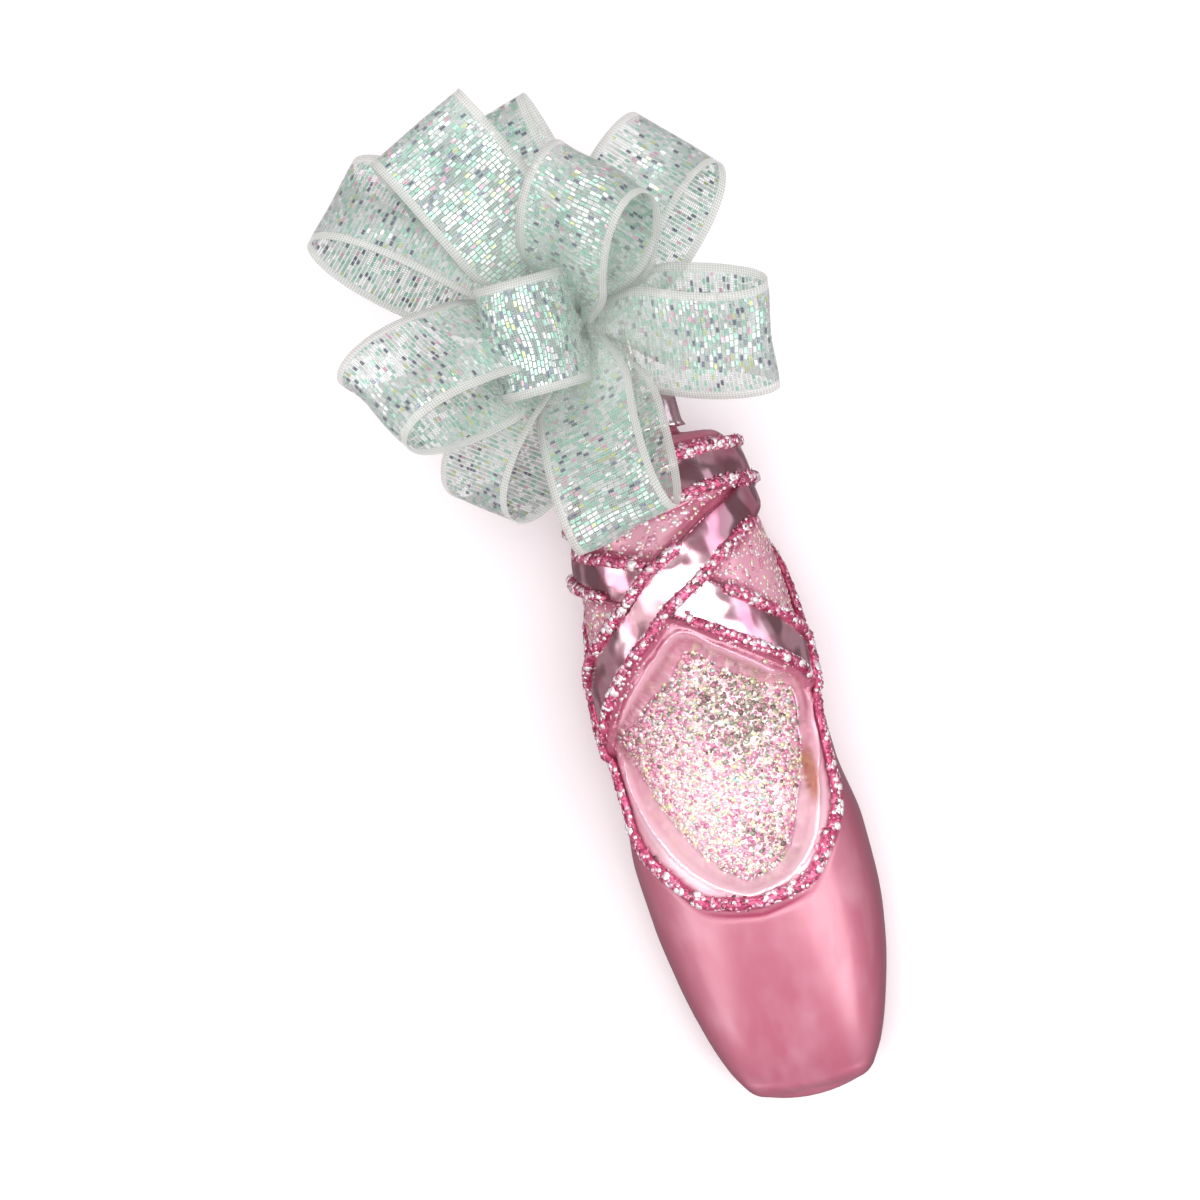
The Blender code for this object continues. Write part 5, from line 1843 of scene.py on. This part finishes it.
class ORNAMENT_OT_ribbon_bow(bpy.types.Operator):
    """Make the bow: ten loops of sheer ribbon, their gathered middle and the tie"""

    bl_idname = "ornament.ribbon_bow"
    bl_label = "Ribbon bow"

    def execute(self, context):
        bow = context.scene.ornament_bow
        material = sheer_ribbon(bow)
        for number, loop in enumerate(BOW_LOOPS):
            self.loop_piece(loop, number, bow, material)
        self.middle_piece(material)
        self.tie_piece(material)
        return {"FINISHED"}

    def loop_piece(self, loop, number, bow, material):
        """One loop: a strip that leaves the knot, turns back and returns to it."""
        bm, column, row = grid(LOOP_STEPS, LOOP_WIDE_STEPS)
        share, side = column / LOOP_STEPS, row / LOOP_WIDE_STEPS * 2.0 - 1.0
        measures = np.linspace(0.0, 1.0, LOOP_MEASURES)
        travel = travel_along(loop_points(loop, measures, np.zeros(LOOP_MEASURES)))
        run = np.interp(share, measures, travel) + number * LOOP_WEAVE_SHIFT
        set_points(bm, loop_points(loop, share, side))
        set_mask(bm, "far", np.sin(math.pi * share) ** 2)
        uv = bm.loops.layers.uv.new("UVMap")
        for i, vertex in enumerate(bm.verts):
            for corner in vertex.link_loops:
                corner[uv].uv = (run[i], side[i] * BOW_RIBBON_WIDTH / 2.0)
        piece = finished(bm, loop.name, material)
        wall = piece.modifiers.new("Thickness", "SOLIDIFY")
        wall.thickness = bow.thickness
        wall.offset = 0.0
        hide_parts("ribbon_bow")

    def middle_piece(self, material):
        """The ribbon's gathered middle, pinched to pleats under the tie."""
        bm = bmesh.new()
        bmesh.ops.create_uvsphere(bm, u_segments=48, v_segments=20, radius=KNOT_RADIUS * KNOT_SHARE)
        uv = bm.loops.layers.uv.new("UVMap")
        for vertex in bm.verts:
            around = math.atan2(vertex.co.y, vertex.co.x)
            low = 1.0 - abs(vertex.co.z) / KNOT_RADIUS
            pleat = 1.0 + KNOT_PLEAT_DEPTH * math.cos(KNOT_PLEATS * around) * low
            vertex.co = Vector((vertex.co.x * pleat, vertex.co.y * pleat, vertex.co.z * KNOT_SHARE))
            for corner in vertex.link_loops:
                corner[uv].uv = (around * KNOT_RADIUS, vertex.co.z)
        bmesh.ops.translate(bm, verts=bm.verts, vec=bow_middle())
        piece = finished(bm, "bow_gathered_middle", material)
        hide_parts("ribbon_bow")

    def tie_piece(self, material):
        """The thin tie: a ring of gathered ribbon through the hanger's eye and round the knot."""
        eye = np.array([NECK_X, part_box("hanger_wire")[1][1] - TIE_BELOW_WIRE_END, NECK_HEIGHT])
        spot = eye + np.array([0.0, 1.0, 1.0]) / math.sqrt(2.0) * TIE_PAST_EYE
        axis = np.array([0.0, 1.0, -1.0]) / math.sqrt(2.0)
        to_knot = np.array(bow_middle()) - spot
        to_knot -= axis * to_knot.dot(axis)
        length = np.linalg.norm(to_knot)
        radius = (length - KNOT_RADIUS / 2.0 + TIE_SLACK) / 2.0
        to_knot /= length
        across = np.cross(axis, to_knot)
        centre = spot + to_knot * (radius - TIE_SLACK)
        bm, column, row = grid(TIE_STEPS, TIE_ROUND_STEPS)
        uv = bm.loops.layers.uv.new("UVMap")
        for vertex, turn, round_it in zip(bm.verts, column / TIE_STEPS, row / TIE_ROUND_STEPS):
            turn, round_it = turn * 2.0 * math.pi, round_it * 2.0 * math.pi
            out = to_knot * math.cos(turn) + across * math.sin(turn)
            thick = TIE_THICKNESS + TIE_PUCKER * math.cos(3.0 * round_it + 8.0 * turn)
            point = centre + out * (radius + thick * math.cos(round_it)) + axis * thick * math.sin(round_it)
            vertex.co = Vector(point)
            for corner in vertex.link_loops:
                corner[uv].uv = (turn * radius, thick * round_it)
        weld(bm)
        piece = finished(bm, "bow_tie", material)
        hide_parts("ribbon_bow")


class ORNAMENT_OT_stage(bpy.types.Operator):
    """Make the floor, the soft lights and the camera"""

    bl_idname = "ornament.stage"
    bl_label = "Stage"

    def execute(self, context):
        stage = context.scene.ornament_stage
        self.floor()
        self.camera(context, stage)
        self.lights(stage)
        return {"FINISHED"}

    def floor(self):
        bm = bmesh.new()
        bmesh.ops.create_grid(bm, x_segments=1, y_segments=1, size=FLOOR_HALF)
        mesh = bpy.data.meshes.new("floor")
        bm.to_mesh(mesh)
        bm.free()
        mesh.materials.append(floor_finish())
        floor = bpy.data.objects.new("floor", mesh)
        bpy.context.scene.collection.objects.link(floor)
        floor.visible_glossy = False

    def camera(self, context, stage):
        data = bpy.data.cameras.new("camera")
        data.sensor_width = SENSOR_WIDTH
        data.lens = SENSOR_WIDTH * stage.distance / stage.frame_width
        data.clip_start = 0.05
        data.clip_end = 10.0
        camera = bpy.data.objects.new("camera", data)
        context.scene.collection.objects.link(camera)
        back = Vector((math.sin(stage.side), 0.0, math.cos(stage.side)))
        along = Vector((0.0, 1.0, 0.0))
        aside = along.cross(back)
        up = along * math.cos(stage.roll) + aside * math.sin(stage.roll)
        right = up.cross(back)
        turn = Matrix((right, up, back)).transposed().to_4x4()
        camera.matrix_world = Matrix.Translation(CAMERA_TARGET + back * stage.distance) @ turn
        context.scene.camera = camera
        context.scene.view_settings.view_transform = "Standard"

    def lights(self, stage):
        world = bpy.data.worlds.new("studio")
        world.use_nodes = True
        background = world.node_tree.nodes["Background"]
        background.inputs["Color"].default_value = (*ROOM_COLOUR, 1.0)
        background.inputs["Strength"].default_value = ROOM_STRENGTH
        bpy.context.scene.world = world
        for lamp in LAMPS:
            self.area(lamp, stage.key)

    def area(self, lamp, key_watts):
        data = bpy.data.lights.new(lamp.name, "AREA")
        data.shape = "RECTANGLE"
        data.size = lamp.wide
        data.size_y = lamp.tall
        data.energy = key_watts * lamp.share
        data.color = lamp.colour
        light = bpy.data.objects.new(lamp.name, data)
        bpy.context.scene.collection.objects.link(light)
        light.location = lamp.place
        aim = LAMP_TARGET - Vector(lamp.place)
        light.rotation_euler = aim.to_track_quat("-Z", "Y").to_euler()


class ORNAMENT_PT_panel(bpy.types.Panel):
    """The ornament's pieces and their values"""

    bl_idname = "ORNAMENT_PT_panel"
    bl_label = "Ornament"
    bl_space_type = "VIEW_3D"
    bl_region_type = "UI"
    bl_category = "Ornament"

    def draw(self, context):
        layout = self.layout
        for operator in OPERATORS:
            layout.operator(operator.bl_idname)
        for name in SETTINGS:
            box = layout.box()
            settings = getattr(context.scene, name)
            for field in settings.__annotations__:
                box.prop(settings, field)


SETTINGS = {
    "ornament_finish": OrnamentFinish,
    "ornament_glitter": OrnamentGlitter,
    "ornament_bow": OrnamentBow,
    "ornament_stage": OrnamentStage,
}
OPERATORS = (
    ORNAMENT_OT_stage,
    ORNAMENT_OT_blown_shoe,
    ORNAMENT_OT_line_glitter,
    ORNAMENT_OT_pearl_glitter,
    ORNAMENT_OT_cap_and_wire,
    ORNAMENT_OT_ribbon_bow,
)


def register():
    for kind in (*SETTINGS.values(), *OPERATORS, ORNAMENT_PT_panel):
        bpy.utils.register_class(kind)
    for name, kind in SETTINGS.items():
        setattr(bpy.types.Scene, name, bpy.props.PointerProperty(type=kind))


def unregister():
    for name in SETTINGS:
        delattr(bpy.types.Scene, name)
    for kind in (ORNAMENT_PT_panel, *reversed(OPERATORS), *reversed(SETTINGS.values())):
        bpy.utils.unregister_class(kind)


def main():
    register()
    bpy.ops.ornament.stage()
    bpy.ops.ornament.blown_shoe()
    bpy.ops.ornament.line_glitter()
    bpy.ops.ornament.pearl_glitter()
    bpy.ops.ornament.cap_and_wire()
    bpy.ops.ornament.ribbon_bow()


if __name__ == "__main__":
    main()
